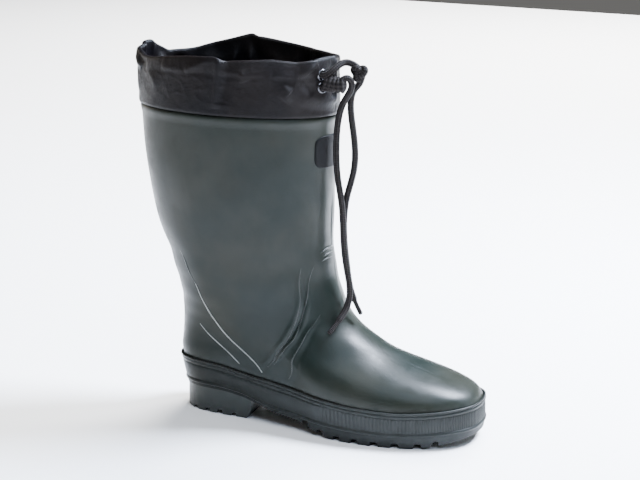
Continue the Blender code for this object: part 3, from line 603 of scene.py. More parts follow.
class Effects:
    """Node groups that several finishes use, each made once."""

    def __init__(self) -> None:
        """Build every group."""
        self.groups = {
            Effect.MOTTLE: self._mottle(),
            Effect.GRAIN: self._grain(),
            Effect.WEAVE: self._weave(),
            Effect.BRAID: self._braid(),
            Effect.DUST: self._dust(),
        }

    @staticmethod
    def _group(name: str, inputs: dict[str, float], outputs: Sequence[str]) -> bpy.types.NodeTree:
        """An empty group with float sockets.

        Args:
            name: The group's name.
            inputs: Defaults by input name.
            outputs: Names of the outputs.

        Returns:
            The group, with its input and output nodes.
        """
        tree = bpy.data.node_groups.new(name, "ShaderNodeTree")
        for label, default in inputs.items():
            socket = tree.interface.new_socket(name=label, in_out="INPUT", socket_type="NodeSocketFloat")
            socket.default_value = default
        for label in outputs:
            tree.interface.new_socket(name=label, in_out="OUTPUT", socket_type="NodeSocketFloat")
        tree.nodes.new("NodeGroupInput").name = "in"
        tree.nodes.new("NodeGroupOutput").name = "out"
        return tree

    @staticmethod
    def _noise(tree: bpy.types.NodeTree, detail: float, roughness: float) -> bpy.types.Node:
        """A noise over the object's own coordinates.

        Args:
            tree: The group.
            detail: The noise's detail.
            roughness: How strong its fine part is.

        Returns:
            The noise's node.
        """
        where = tree.nodes.new("ShaderNodeTexCoord")
        noise = tree.nodes.new("ShaderNodeTexNoise")
        noise.inputs["Detail"].default_value = detail
        noise.inputs["Roughness"].default_value = roughness
        tree.links.new(where.outputs["Object"], noise.inputs["Vector"])
        return noise

    @staticmethod
    def _span(tree: bpy.types.NodeTree, low: float, high: float) -> bpy.types.Node:
        """A clamped soft map from a span to 0 to 1.

        Args:
            tree: The group.
            low: Where the span starts.
            high: Where it ends.

        Returns:
            The map's node.
        """
        span = tree.nodes.new("ShaderNodeMapRange")
        span.interpolation_type = "SMOOTHSTEP"
        span.inputs["From Min"].default_value = low
        span.inputs["From Max"].default_value = high
        return span

    @staticmethod
    def _math(
        tree: bpy.types.NodeTree, operation: str, *values: float | bpy.types.NodeSocket
    ) -> bpy.types.NodeSocket:
        """The result of one operation on numbers and sockets.

        Args:
            tree: The group.
            operation: The operation's name.
            values: What goes into it.

        Returns:
            The result's socket.
        """
        node = tree.nodes.new("ShaderNodeMath")
        node.operation = operation
        for socket, value in zip(node.inputs, values):
            if isinstance(value, float):
                socket.default_value = value
            else:
                tree.links.new(value, socket)
        return node.outputs["Value"]

    def _mottle(self) -> bpy.types.NodeTree:
        """Large soft patches of tone, for bloom on rubber and age in cloth.

        Returns:
            The group.
        """
        tree = self._group(Effect.MOTTLE.value, {"Scale": 14.0, "Amount": 1.0}, ["Mask"])
        given = tree.nodes["in"].outputs
        noise = self._noise(tree, 4.0, 0.55)
        span = self._span(tree, 0.35, 0.68)
        tree.links.new(given["Scale"], noise.inputs["Scale"])
        tree.links.new(noise.outputs["Fac"], span.inputs["Value"])
        mask = self._math(tree, "MULTIPLY", span.outputs["Result"], given["Amount"])
        tree.links.new(mask, tree.nodes["out"].inputs["Mask"])
        return tree

    def _grain(self) -> bpy.types.NodeTree:
        """Fine surface grain with a few deeper pits, as a height.

        Returns:
            The group.
        """
        pit_scale = 0.22
        tree = self._group(Effect.GRAIN.value, {"Scale": 900.0, "Pits": 0.3}, ["Height"])
        given = tree.nodes["in"].outputs
        noise = self._noise(tree, 3.0, 0.6)
        pits = self._noise(tree, 1.0, 0.4)
        span = self._span(tree, 0.30, 0.42)
        tree.links.new(given["Scale"], noise.inputs["Scale"])
        tree.links.new(self._math(tree, "MULTIPLY", given["Scale"], pit_scale), pits.inputs["Scale"])
        tree.links.new(pits.outputs["Fac"], span.inputs["Value"])
        deep = self._math(tree, "MULTIPLY", span.outputs["Result"], given["Pits"])
        total = self._math(tree, "ADD", noise.outputs["Fac"], deep)
        tree.links.new(total, tree.nodes["out"].inputs["Height"])
        return tree

    def _wave(self, tree: bpy.types.NodeTree, axis: int, across: str) -> bpy.types.NodeSocket:
        """One coordinate of the layer "place" times a number of waves.

        Args:
            tree: The group.
            axis: 0 for around, 1 for the row.
            across: Name of the input that holds the number of waves.

        Returns:
            Socket of the place in waves.
        """
        where = tree.nodes.new("ShaderNodeUVMap")
        where.uv_map = "place"
        split = tree.nodes.new("ShaderNodeSeparateXYZ")
        tree.links.new(where.outputs["UV"], split.inputs["Vector"])
        return self._math(tree, "MULTIPLY", split.outputs[axis], tree.nodes["in"].outputs[across])

    def _crossed(
        self, tree: bpy.types.NodeTree, first: bpy.types.NodeSocket, second: bpy.types.NodeSocket
    ) -> bpy.types.NodeSocket:
        """The product of two sines of whole turns, from 0 to 1.

        Args:
            tree: The group.
            first: One place in waves.
            second: The other.

        Returns:
            The product's socket.
        """
        sines = []
        for waves in (first, second):
            sines.append(self._math(tree, "SINE", self._math(tree, "MULTIPLY", waves, 2 * math.pi)))
        half = self._math(tree, "MULTIPLY", sines[0], 0.5)
        return self._math(tree, "MULTIPLY_ADD", half, sines[1], 0.5)

    def _weave(self) -> bpy.types.NodeTree:
        """A plain weave over the layer "place", as a height.

        Returns:
            The group.
        """
        tree = self._group(Effect.WEAVE.value, {"Across": 900.0, "Up": 180.0}, ["Height"])
        product = self._crossed(tree, self._wave(tree, 0, "Across"), self._wave(tree, 1, "Up"))
        tree.links.new(product, tree.nodes["out"].inputs["Height"])
        return tree

    def _braid(self) -> bpy.types.NodeTree:
        """The diagonal plaits of a round braid over the layer "place", as a height.

        Returns:
            The group.
        """
        tree = self._group(Effect.BRAID.value, {"Around": 6.0, "Along": 120.0}, ["Height"])
        across, along = self._wave(tree, 0, "Around"), self._wave(tree, 1, "Along")
        both = [self._math(tree, kind, across, along) for kind in ("ADD", "SUBTRACT")]
        tree.links.new(self._crossed(tree, *both), tree.nodes["out"].inputs["Height"])
        return tree

    def _dust(self) -> bpy.types.NodeTree:
        """Where a piece keeps a point value "hollow", broken up by a noise.

        Returns:
            The group.
        """
        tree = self._group(Effect.DUST.value, {"Amount": 0.5}, ["Mask"])
        kept = tree.nodes.new("ShaderNodeAttribute")
        kept.attribute_name = "hollow"
        noise = self._noise(tree, 5.0, 0.6)
        noise.inputs["Scale"].default_value = 120.0
        span = self._span(tree, 0.3, 0.6)
        tree.links.new(noise.outputs["Fac"], span.inputs["Value"])
        both = self._math(tree, "MULTIPLY", span.outputs["Result"], kept.outputs["Fac"])
        mask = self._math(tree, "MULTIPLY", both, tree.nodes["in"].outputs["Amount"])
        tree.links.new(mask, tree.nodes["out"].inputs["Mask"])
        return tree


class Painter:
    """Helper that places nodes in one material."""

    def __init__(self, name: str, effects: Effects) -> None:
        """Start a material with its shader.

        Args:
            name: The material's name.
            effects: The shared effects.
        """
        self.material = bpy.data.materials.new(name)
        self.material.use_nodes = True
        self.tree = self.material.node_tree
        self.shader = self.tree.nodes["Principled BSDF"]
        self.effects = effects

    def set(self, **values: float) -> None:
        """Set the shader's own sockets, with underscores for spaces."""
        for name, value in values.items():
            self.shader.inputs[name.replace("_", " ")].default_value = value

    def effect(self, kind: Effect, **values: float) -> bpy.types.Node:
        """Place a shared effect.

        Args:
            kind: Which effect.
            values: Its own values by input name.

        Returns:
            The placed node.
        """
        node = self.tree.nodes.new("ShaderNodeGroup")
        node.node_tree = self.effects.groups[kind]
        for name, value in values.items():
            node.inputs[name].default_value = value
        return node

    def blend(self, mask: bpy.types.NodeSocket, first: Colour, second: Colour) -> bpy.types.NodeSocket:
        """A colour between two, by a mask.

        Args:
            mask: Output that goes from 0 to 1.
            first: Colour at 0.
            second: Colour at 1.

        Returns:
            The colour's socket.
        """
        mix = self.tree.nodes.new("ShaderNodeMix")
        mix.data_type = "RGBA"
        mix.inputs["A"].default_value = (*first, 1.0)
        mix.inputs["B"].default_value = (*second, 1.0)
        self.tree.links.new(mask, mix.inputs["Factor"])
        return mix.outputs["Result"]

    def over(
        self, base: bpy.types.NodeSocket, mask: bpy.types.NodeSocket, colour: Colour
    ) -> bpy.types.NodeSocket:
        """A colour laid over another, by a mask.

        Args:
            base: The colour below.
            mask: Output that goes from 0 to 1.
            colour: The colour on top.

        Returns:
            The colour's socket.
        """
        mix = self.tree.nodes.new("ShaderNodeMix")
        mix.data_type = "RGBA"
        mix.inputs["B"].default_value = (*colour, 1.0)
        self.tree.links.new(base, mix.inputs["A"])
        self.tree.links.new(mask, mix.inputs["Factor"])
        return mix.outputs["Result"]

    def span(self, value: bpy.types.NodeSocket, low: float, high: float) -> bpy.types.NodeSocket:
        """Map 0 to 1 onto another span.

        Args:
            value: The value's socket.
            low: What 0 becomes.
            high: What 1 becomes.

        Returns:
            The mapped socket.
        """
        node = self.tree.nodes.new("ShaderNodeMapRange")
        node.inputs["To Min"].default_value = low
        node.inputs["To Max"].default_value = high
        self.tree.links.new(value, node.inputs["Value"])
        return node.outputs["Result"]

    def colour(self, socket: bpy.types.NodeSocket) -> None:
        """Feed the base colour."""
        self.tree.links.new(socket, self.shader.inputs["Base Color"])

    def roughness(self, socket: bpy.types.NodeSocket) -> None:
        """Feed the roughness."""
        self.tree.links.new(socket, self.shader.inputs["Roughness"])

    def bump(
        self, height: bpy.types.NodeSocket, depth: float, before: bpy.types.Node | None = None
    ) -> bpy.types.Node:
        """Feed the normal from a height.

        Args:
            height: The height, about 0 to 1.
            depth: Its real depth.
            before: A bump that this one adds to.

        Returns:
            The new bump node.
        """
        node = self.tree.nodes.new("ShaderNodeBump")
        node.inputs["Distance"].default_value = depth
        self.tree.links.new(height, node.inputs["Height"])
        if before is not None:
            self.tree.links.new(before.outputs["Normal"], node.inputs["Normal"])
        self.tree.links.new(node.outputs["Normal"], self.shader.inputs["Normal"])
        return node


# Finishes


@dataclass(frozen=True)
class RubberFinish:
    """Moulded rubber with a faint bloom, a fine grain and dust in its hollows."""

    name: str
    colour: Colour
    bloom: Colour
    dust: Colour
    roughness: float
    bloom_amount: float = 0.7
    bloom_scale: float = 12.0
    grain_scale: float = 900.0
    grain_depth: float = 0.00004
    specular: float = 0.5
    dust_amount: float = 0.35
    smear_scale: float = 4.3
    smoother: float = 0.05
    rougher: float = 0.07
    pits: float = 0.4

    def make(self, effects: Effects) -> bpy.types.Material:
        """Build the material.

        Args:
            effects: The shared effects.

        Returns:
            The material.
        """
        paint = Painter(self.name, effects)
        paint.set(Roughness=self.roughness, Specular_IOR_Level=self.specular)
        mottle = paint.effect(Effect.MOTTLE, Scale=self.bloom_scale, Amount=self.bloom_amount)
        base = paint.blend(mottle.outputs["Mask"], self.colour, self.bloom)
        dust = paint.effect(Effect.DUST, Amount=self.dust_amount)
        paint.colour(paint.over(base, dust.outputs["Mask"], self.dust))
        smear = paint.effect(Effect.MOTTLE, Scale=self.bloom_scale * self.smear_scale, Amount=1.0)
        low, high = self.roughness - self.smoother, self.roughness + self.rougher
        paint.roughness(paint.span(smear.outputs["Mask"], low, high))
        grain = paint.effect(Effect.GRAIN, Scale=self.grain_scale, Pits=self.pits)
        paint.bump(grain.outputs["Height"], self.grain_depth)
        return paint.material


@dataclass(frozen=True)
class NylonFinish:
    """Thin coated nylon, a close weave with a soft sheen and small crinkles."""

    name: str
    colour: Colour
    worn: Colour
    roughness: float
    across: float
    up: float
    weave_depth: float = 0.00006
    crinkle_depth: float = 0.0007
    crinkle_scale: float = 70.0
    specular: float = 0.11
    sheen: float = 0.005
    sheen_roughness: float = 0.3
    mottle_scale: float = 16.0
    smear_scale: float = 45.0
    smoother: float = 0.06
    rougher: float = 0.1
    pits: float = 0.2

    def make(self, effects: Effects) -> bpy.types.Material:
        """Build the material.

        Args:
            effects: The shared effects.

        Returns:
            The material.
        """
        paint = Painter(self.name, effects)
        paint.set(Sheen_Weight=self.sheen, Sheen_Roughness=self.sheen_roughness)
        paint.set(Specular_IOR_Level=self.specular)
        mottle = paint.effect(Effect.MOTTLE, Scale=self.mottle_scale, Amount=1.0)
        paint.colour(paint.blend(mottle.outputs["Mask"], self.colour, self.worn))
        smear = paint.effect(Effect.MOTTLE, Scale=self.smear_scale, Amount=1.0)
        low, high = self.roughness - self.smoother, self.roughness + self.rougher
        paint.roughness(paint.span(smear.outputs["Mask"], low, high))
        crinkle = paint.effect(Effect.GRAIN, Scale=self.crinkle_scale, Pits=self.pits)
        first = paint.bump(crinkle.outputs["Height"], self.crinkle_depth)
        weave = paint.effect(Effect.WEAVE, Across=self.across, Up=self.up)
        paint.bump(weave.outputs["Height"], self.weave_depth, first)
        return paint.material


@dataclass(frozen=True)
class CordFinish:
    """Braided polyester cord."""

    name: str
    colour: Colour
    lit: Colour
    around: float
    along: float
    depth: float = 0.0004
    roughness: float = 0.75
    sheen: float = 0.01
    specular: float = 0.1
    hollow_roughness: float = 0.85
    crest_roughness: float = 0.6

    def make(self, effects: Effects) -> bpy.types.Material:
        """Build the material.

        Args:
            effects: The shared effects.

        Returns:
            The material.
        """
        paint = Painter(self.name, effects)
        paint.set(Roughness=self.roughness, Sheen_Weight=self.sheen)
        paint.set(Specular_IOR_Level=self.specular)
        braid = paint.effect(Effect.BRAID, Around=self.around, Along=self.along)
        paint.colour(paint.blend(braid.outputs["Height"], self.colour, self.lit))
        height = braid.outputs["Height"]
        paint.roughness(paint.span(height, self.hollow_roughness, self.crest_roughness))
        paint.bump(braid.outputs["Height"], self.depth)
        return paint.material


@dataclass(frozen=True)
class SteelFinish:
    """Small nickelled steel parts with a brushed, slightly worn face."""

    name: str
    colour: Colour
    worn: Colour
    roughness: float
    rougher: float = 0.2
    worn_scale: float = 260.0
    worn_amount: float = 0.8
    grain_scale: float = 2400.0
    grain_depth: float = 0.00002
    pits: float = 0.5

    def make(self, effects: Effects) -> bpy.types.Material:
        """Build the material.

        Args:
            effects: The shared effects.

        Returns:
            The material.
        """
        paint = Painter(self.name, effects)
        paint.set(Metallic=1.0)
        mottle = paint.effect(Effect.MOTTLE, Scale=self.worn_scale, Amount=self.worn_amount)
        mask = mottle.outputs["Mask"]
        paint.colour(paint.blend(mask, self.colour, self.worn))
        paint.roughness(paint.span(mask, self.roughness, self.roughness + self.rougher))
        grain = paint.effect(Effect.GRAIN, Scale=self.grain_scale, Pits=self.pits)
        paint.bump(grain.outputs["Height"], self.grain_depth)
        return paint.material


@dataclass(frozen=True)
class FeltFinish:
    """Pressed felt of the foot bed."""

    name: str
    colour: Colour
    worn: Colour
    sheen: float = 0.3
    specular: float = 0.2
    worn_scale: float = 30.0
    smoothest: float = 0.9
    roughest: float = 1.0
    grain_scale: float = 500.0
    grain_depth: float = 0.0006
    pits: float = 0.5

    def make(self, effects: Effects) -> bpy.types.Material:
        """Build the material.

        Args:
            effects: The shared effects.

        Returns:
            The material.
        """
        paint = Painter(self.name, effects)
        paint.set(Sheen_Weight=self.sheen, Specular_IOR_Level=self.specular)
        mottle = paint.effect(Effect.MOTTLE, Scale=self.worn_scale, Amount=1.0)
        mask = mottle.outputs["Mask"]
        paint.colour(paint.blend(mask, self.colour, self.worn))
        paint.roughness(paint.span(mask, self.smoothest, self.roughest))
        grain = paint.effect(Effect.GRAIN, Scale=self.grain_scale, Pits=self.pits)
        paint.bump(grain.outputs["Height"], self.grain_depth)
        return paint.material


GREEN = (0.0050, 0.0088, 0.0074)
GREEN_BLOOM = (0.0150, 0.0158, 0.0112)
DARK_GREEN = (0.0048, 0.0066, 0.0062)
DARK_BLOOM = (0.0098, 0.0118, 0.0110)
HEEL_GREEN = (0.016, 0.021, 0.020)
HEEL_BLOOM = (0.026, 0.031, 0.030)
# Pale colour of the counter and ankle lines: a painted highlight along their ridges.
HIGHLIGHT_GREEN = (0.15, 0.165, 0.155)
HIGHLIGHT_BLOOM = (0.26, 0.27, 0.25)
PLATE_BLACK = (0.003, 0.003, 0.0035)
PLATE_BLOOM = (0.0055, 0.0055, 0.006)
DUST = (0.060, 0.064, 0.058)

UPPER_RUBBER = RubberFinish("green_rubber", GREEN, GREEN_BLOOM, DUST, 0.40, specular=0.19)
RIB_RUBBER = RubberFinish("rib_rubber", GREEN, GREEN_BLOOM, DUST, 0.34, specular=0.4)
# Rubber of the pale lines, whose colour is a painted highlight.
HIGHLIGHT_LINE_RUBBER = RubberFinish("highlight_line_rubber", HIGHLIGHT_GREEN, HIGHLIGHT_BLOOM, DUST, 0.32, specular=0.6)
BAND_RUBBER = RubberFinish(
    "band_rubber", DARK_GREEN, DARK_BLOOM, DUST, 0.45, grain_depth=0.00008, specular=0.20
)
SOLE_RUBBER = RubberFinish(
    "sole_rubber", DARK_GREEN, DARK_BLOOM, DUST, 0.52, grain_depth=0.00012, specular=0.22
)
HEEL_RUBBER = RubberFinish(
    "heel_rubber", HEEL_GREEN, HEEL_BLOOM, DUST, 0.48, grain_depth=0.00012, specular=0.4
)
PLATE_RUBBER = RubberFinish(
    "plate_rubber", PLATE_BLACK, PLATE_BLOOM, DUST, 0.50, specular=0.08, dust_amount=0.1
)
CUFF_NYLON = NylonFinish(
    "nylon", (0.0018, 0.0015, 0.0023), (0.0050, 0.0035, 0.0033), 0.40, across=1000.0, up=260.0
)
RING_STEEL = SteelFinish("ring_steel", (0.16, 0.16, 0.17), (0.06, 0.06, 0.065), 0.22)
BED_FELT = FeltFinish("felt", (0.10, 0.10, 0.095), (0.15, 0.145, 0.135))
CORD_BLACK = (0.0012, 0.0012, 0.0014)
CORD_LIT = (0.022, 0.018, 0.017)


# Pieces


class LinePoint(NamedTuple):
    """A place that a raised line or a crease passes, and its strength there."""

    around: float
    level: float
    strength: float


# Section of a bead that lies on the skin: to the side in half-widths, out in heights.
BEAD_SECTION = (
    (-1.0, -0.5),
    (-0.85, 0.1),
    (-0.55, 0.8),
    (0.0, 1.0),
    (0.55, 0.8),
    (0.85, 0.1),
    (1.0, -0.5),
    (0.0, -0.8),
)


@dataclass(frozen=True)
class SurfaceLine:
    """A line on the upper's skin: a crease where its height is below zero, else raised."""

    height: float
    half_width: float
    path: tuple[LinePoint, ...]
    both_sides: bool = False
    strongest: float = 1.2
    least_width: float = 0.35
    bead_steps: int = 110
    relief_steps: int = 260

    @property
    def sides(self) -> tuple[bool, ...]:
        """For each side of the boot that has the line, whether it is the mirrored one."""
        return (False, True) if self.both_sides else (False,)

    def _along(self, steps: int) -> tuple[Array, Array, Array]:
        """Close places along the line.

        Args:
            steps: How many places.

        Returns:
            Around, level and strength of each place.
        """
        at = np.linspace(0, 1, len(self.path))
        fine = np.linspace(0, 1, steps)
        around, level, strength = (spline(at, column)(fine) for column in zip(*self.path))
        return around, level, np.clip(strength, 0, self.strongest)

    def strip(
        self, form: BootForm, mirrored: bool, under: Sequence["SurfaceLine"] = ()
    ) -> bpy.types.Mesh:
        """The line as a rounded bead of its own that lies on the skin.

        Args:
            form: The boot's shape.
            mirrored: Whether it is the inner side's.
            under: Lines whose relief it lies on.

        Returns:
            The mesh.
        """
        around, level, strength = self._along(self.bead_steps)
        around = 1 - around if mirrored else around
        centre = form.skin(around, level)
        normal = form.normal(around, level)
        bed = sum((each.relief(form, centre) for each in under), np.zeros(self.bead_steps))
        centre = centre + bed[:, None] * normal
        run = np.gradient(centre, axis=0)
        run /= np.linalg.norm(run, axis=1, keepdims=True)
        across = np.cross(normal, run)
        strength = strength[:, None]
        rings = []
        for side, rise in BEAD_SECTION:
            width = self.half_width * side * (self.least_width + (1 - self.least_width) * strength)
            lift = self.height * (rise * strength if rise > 0 else rise)
            rings.append(centre + across * width + normal * lift)
        return ring_mesh("line", np.array(rings).transpose(1, 0, 2), joined=False)

    def relief(self, form: BootForm, points: Array) -> Array:
        """Height that the line adds at points.

        Args:
            form: The boot's shape.
            points: Points of the skin, one per row.

        Returns:
            One height per point.
        """
        total = np.zeros(len(points))
        around, level, strength = self._along(self.relief_steps)
        for mirrored in self.sides:
            line = form.skin(1 - around if mirrored else around, level)
            margin = 2 * self.half_width
            inside = np.all((points > line.min(0) - margin) & (points < line.max(0) + margin), axis=1)
            near = points[inside]
            if not len(near):
                continue
            gaps = np.linalg.norm(near[:, None, :] - line[None, :, :], axis=2)
            nearest = gaps.argmin(axis=1)
            distance = gaps[np.arange(len(near)), nearest] / self.half_width
            shape = np.clip(1 - distance**2, 0, 1) ** 2
            total[inside] += self.height * strength[nearest] * shape
        return total


def line(
    height: float, half_width: float, *path: tuple[float, float, float], both: bool = False
) -> SurfaceLine:
    """A surface line from bare triples."""
    return SurfaceLine(height, half_width, tuple(LinePoint(*place) for place in path), both)


# Raised lines dressed pale: their colour is a painted highlight along each ridge.
HIGHLIT_LINES = (
    line(
        0.0006, 0.0007, (0.641, 0.620, 0.2), (0.650, 0.500, 0.8), (0.663, 0.340, 1.0), (0.676, 0.210, 1.0),
        (0.687, 0.120, 1.0), (0.693, 0.045, 0.9), both=True,
    ),
    line(
        0.0005, 0.0006, (0.615, 0.330, 0.1), (0.623, 0.288, 0.6), (0.636, 0.216, 0.9), (0.651, 0.137, 0.9),
        (0.664, 0.058, 0.8), both=True,
    ),
)

CRISP_LINES = (
    line(
        0.0003, 0.0007, (0.612, 0.760, 0.0), (0.626, 0.715, 0.9), (0.634, 0.665, 1.0), (0.642, 0.612, 0.4),
        both=True,
    ),
    line(
        0.0006, 0.0008, (0.884, 0.722, 0.1), (0.872, 0.660, 0.8), (0.8505, 0.564, 1.0), (0.800, 0.429, 1.0),
        (0.746, 0.285, 1.0), (0.704, 0.110, 0.7), both=True,
    ),
    line(
        0.0006, 0.0008, (0.936, 0.742, 0.3), (0.912, 0.712, 0.8), (0.888, 0.640, 1.0), (0.863, 0.565, 1.0),
        (0.814, 0.437, 1.0), (0.764, 0.320, 1.0), (0.715, 0.150, 0.6), both=True,
    ),
    line(
        0.0005, 0.0008, (0.896, 0.545, 0.2), (0.836, 0.449, 1.0), (0.785, 0.330, 1.0), (0.750, 0.212, 1.0),
        (0.726, 0.060, 0.3), both=True,
    ),
    line(0.0006, 0.0008, (0.936, 0.754, 0.0), (0.956, 0.762, 1.0), (0.984, 0.767, 1.0), (1.006, 0.764, 0.1)),
    line(0.0005, 0.0008, (0.940, 0.742, 0.0), (0.960, 0.749, 1.0), (0.984, 0.753, 1.0), (1.002, 0.751, 0.1)),
    line(0.0005, 0.0007, (0.934, 0.728, 0.0), (0.950, 0.735, 0.9), (0.972, 0.739, 1.0), (0.996, 0.738, 0.1)),
)

RIBS = (
    line(
        0.0009, 0.0034, (0.879, 0.715, 0.0), (0.848, 0.564, 1.0), (0.795, 0.429, 1.0), (0.7415, 0.285, 1.0),
        (0.702, 0.134, 0.7), both=True,
    ),
    line(
        0.0008, 0.0034, (0.897, 0.710, 0.0), (0.869, 0.565, 1.0), (0.815, 0.437, 1.0), (0.765, 0.320, 1.0),
        (0.715, 0.160, 0.5), both=True,
    ),
    line(
        -0.0008, 0.0030, (0.888, 0.700, 0.0), (0.8605, 0.565, 1.0), (0.8065, 0.433, 1.0),
        (0.7545, 0.303, 1.0), (0.7095, 0.147, 0.6), both=True,
    ),
    line(
        -0.0007, 0.0030, (0.900, 0.532, 0.0), (0.842, 0.438, 1.0), (0.791, 0.320, 1.0), (0.756, 0.205, 1.0),
        (0.731, 0.050, 0.3), both=True,
    ),
    line(
        0.0006, 0.0040, (0.896, 0.545, 0.0), (0.836, 0.449, 1.0), (0.785, 0.330, 1.0), (0.750, 0.212, 1.0),
        (0.726, 0.060, 0.3), both=True,
    ),
)

CREASES = (
    line(-0.0004, 0.0020, (0.942, 0.748, 0.0), (0.964, 0.755, 1.0), (0.984, 0.759, 1.0), (1.004, 0.757, 0.2)),
    line(-0.0004, 0.0024, (0.938, 0.761, 0.0), (0.962, 0.769, 1.0), (0.984, 0.773, 1.0), (1.006, 0.770, 0.2)),
    line(0.0003, 0.0040, (0.931, 0.573, 0.0), (0.955, 0.570, 1.0), (0.985, 0.572, 1.0), (1.009, 0.578, 0.0)),
    line(-0.0008, 0.0013, (0.917, 0.500, 0.0), (0.935, 0.512, 1.0), (0.955, 0.528, 1.0), (0.975, 0.545, 0.0)),
    line(-0.0003, 0.0018, (0.985, 0.310, 0.0), (0.984, 0.270, 1.0), (0.983, 0.220, 0.8), (0.982, 0.170, 0.0)),
)


@dataclass
class Upper:
    """The rubber shell with its raised lines, creases and soft dents."""

    form: BootForm
    around_count: int = 432
    foot_rows: int = 126
    shaft_rows: int = 64
    inner_rows: int = 22
    collar_step: float = 0.0012
    cuff_overlap: float = 0.011
    bead_height: float = 0.0055
    bead_relief: float = 0.0010
    dent: float = 0.0007
    dent_starts: tuple[float, float] = (0.35, 0.75)
    dent_ends: tuple[float, float] = (0.92, 1.0)
    dent_waves: tuple[float, float] = (5.0, 4.0)
    dent_seed: float = 1.3
    relief_starts: float = 0.03
    dusty_level: float = 0.05
    dustiness: float = 0.5

    def _levels(self) -> Array:
        """Levels of the outer rows, closer over the foot.

        Returns:
            Rising levels from 0 to 1.
        """
        bend = (len(FOOT_LOOPS) - 1) / (len(FOOT_LOOPS) + len(SHAFT_LOOPS) - 1)
        foot = np.linspace(0, bend, self.foot_rows, endpoint=False)
        return np.concatenate([foot, np.linspace(bend, 1, self.shaft_rows)])

    def _bead(self, level: Array) -> Array:
        """The bead that runs round under the cuff.

        Args:
            level: Levels.

        Returns:
            How far the bead stands out at each.
        """
        share = len(SHAFT_LOOPS) / (len(FOOT_LOOPS) + len(SHAFT_LOOPS) - 1)
        below = (1 - level) / share * (self.form.collar_height - self.form.instep_height)
        middle = (below - self.bead_height / 2) / (self.bead_height / 2)
        return self.bead_relief * np.clip(1 - middle**4, 0, 1)

    def _dents(self, around: Array, level: Array) -> Array:
        """Soft unevenness of a tall rubber shaft.

        Args:
            around: Places around the foot.
            level: Levels.

        Returns:
            How far the shaft stands out at each.
        """
        fade = smooth_step(level, *self.dent_starts) * (1 - smooth_step(level, *self.dent_ends))
        across, up = self.dent_waves
        return self.dent * fade * ripple(around * across, level * up, self.dent_seed)

    def build(self, effects: Effects) -> None:
        """Make the shell and dress it.

        Args:
            effects: The shared effects.
        """
        form, around = self.form, places(self.around_count)
        level = self._levels()
        grid_around, grid_level = np.meshgrid(around, level)
        skin = form.skin(grid_around, grid_level)
        normal = form.normal(grid_around, grid_level)
        flat = skin.reshape(-1, 3)
        raised = sum(rib.relief(form, flat) for rib in RIBS).reshape(grid_around.shape)
        creased = sum(crease.relief(form, flat) for crease in CREASES).reshape(grid_around.shape)
        ease = smooth_step(grid_level, 0.0, self.relief_starts)
        out = ease * (raised + creased) + self._bead(grid_level) + self._dents(grid_around, grid_level)
        outer = skin + out[..., None] * normal
        top = np.array([0, 0, self.cuff_overlap])
        seat = form.shell(around, 1.0, -self.collar_step)
        inner_level = np.linspace(1, 0, self.inner_rows)
        inner = [form.shell(around, at, -form.upper_wall) for at in inner_level]
        rings = [form.feather(around, 0.0), *outer, seat, seat + top]
        rings.append(form.shell(around, 1.0, -form.upper_wall) + top)
        rings += [*inner, form.feather(around, -form.upper_wall)]
        mesh = ring_mesh("upper_skin", np.array(rings))
        hollow = np.zeros((len(rings), self.around_count))
        low = 1 - smooth_step(grid_level, 0.0, self.dusty_level)
        hollow[1 : 1 + len(level)] = self.dustiness * low
        mark(mesh, "hollow", hollow)
        made = piece_of("upper_skin", mesh, form)
        made.data.materials.append(UPPER_RUBBER.make(effects))
        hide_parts("upper")

    def build_lines(self, effects: Effects) -> None:
        """Make the raised lines of ankle and heel counter, the pale ones with a painted highlight and the
        crisp ones, and dress them.

        Args:
            effects: The shared effects.
        """
        under = (*RIBS, *CREASES)
        # The first set is painted pale as a highlight along its ridges.
        worn, crisp = ("highlit_lines", HIGHLIT_LINES, HIGHLIGHT_LINE_RUBBER), ("crisp_lines", CRISP_LINES, RIB_RUBBER)
        for name, table, finish in (worn, crisp):
            strips = []
            for each in table:
                for mirrored in each.sides:
                    strips.append(each.strip(self.form, mirrored, under))
            made = piece_of(name, merged(name, strips), self.form)
            made.data.materials.append(finish.make(effects))
            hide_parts("upper")


class BandPoint(NamedTuple):
    """A point of the band's wall: share of its height, standing out in metres, and share of the fine ribs."""

    up: float
    out: float
    ribs: float


BAND_PROFILE = (
    BandPoint(0.000, 0.0009, 0.0),
    BandPoint(0.025, 0.0013, 0.0),
    BandPoint(0.060, 0.0014, 0.0),
    BandPoint(0.095, 0.0012, 0.0),
    BandPoint(0.120, 0.0005, 0.0),
    BandPoint(0.135, 0.0001, 0.0),
    BandPoint(0.160, 0.0003, 0.5),
    BandPoint(0.190, 0.0005, 1.0),
    BandPoint(0.450, 0.0006, 1.0),
    BandPoint(0.690, 0.0005, 1.0),
    BandPoint(0.715, 0.0003, 0.5),
    BandPoint(0.735, -0.0002, 0.0),
    BandPoint(0.765, -0.0003, 0.0),
    BandPoint(0.785, 0.0004, 0.0),
    BandPoint(0.805, 0.0009, 0.0),
    BandPoint(0.840, 0.0011, 0.0),
    BandPoint(0.870, 0.0008, 0.0),
    BandPoint(0.890, 0.0002, 0.0),
    BandPoint(0.910, 0.0002, 0.0),
    BandPoint(0.930, 0.0007, 0.0),
    BandPoint(0.955, 0.0010, 0.0),
    BandPoint(0.980, 0.0008, 0.0),
    BandPoint(1.000, 0.0001, 0.0),
)


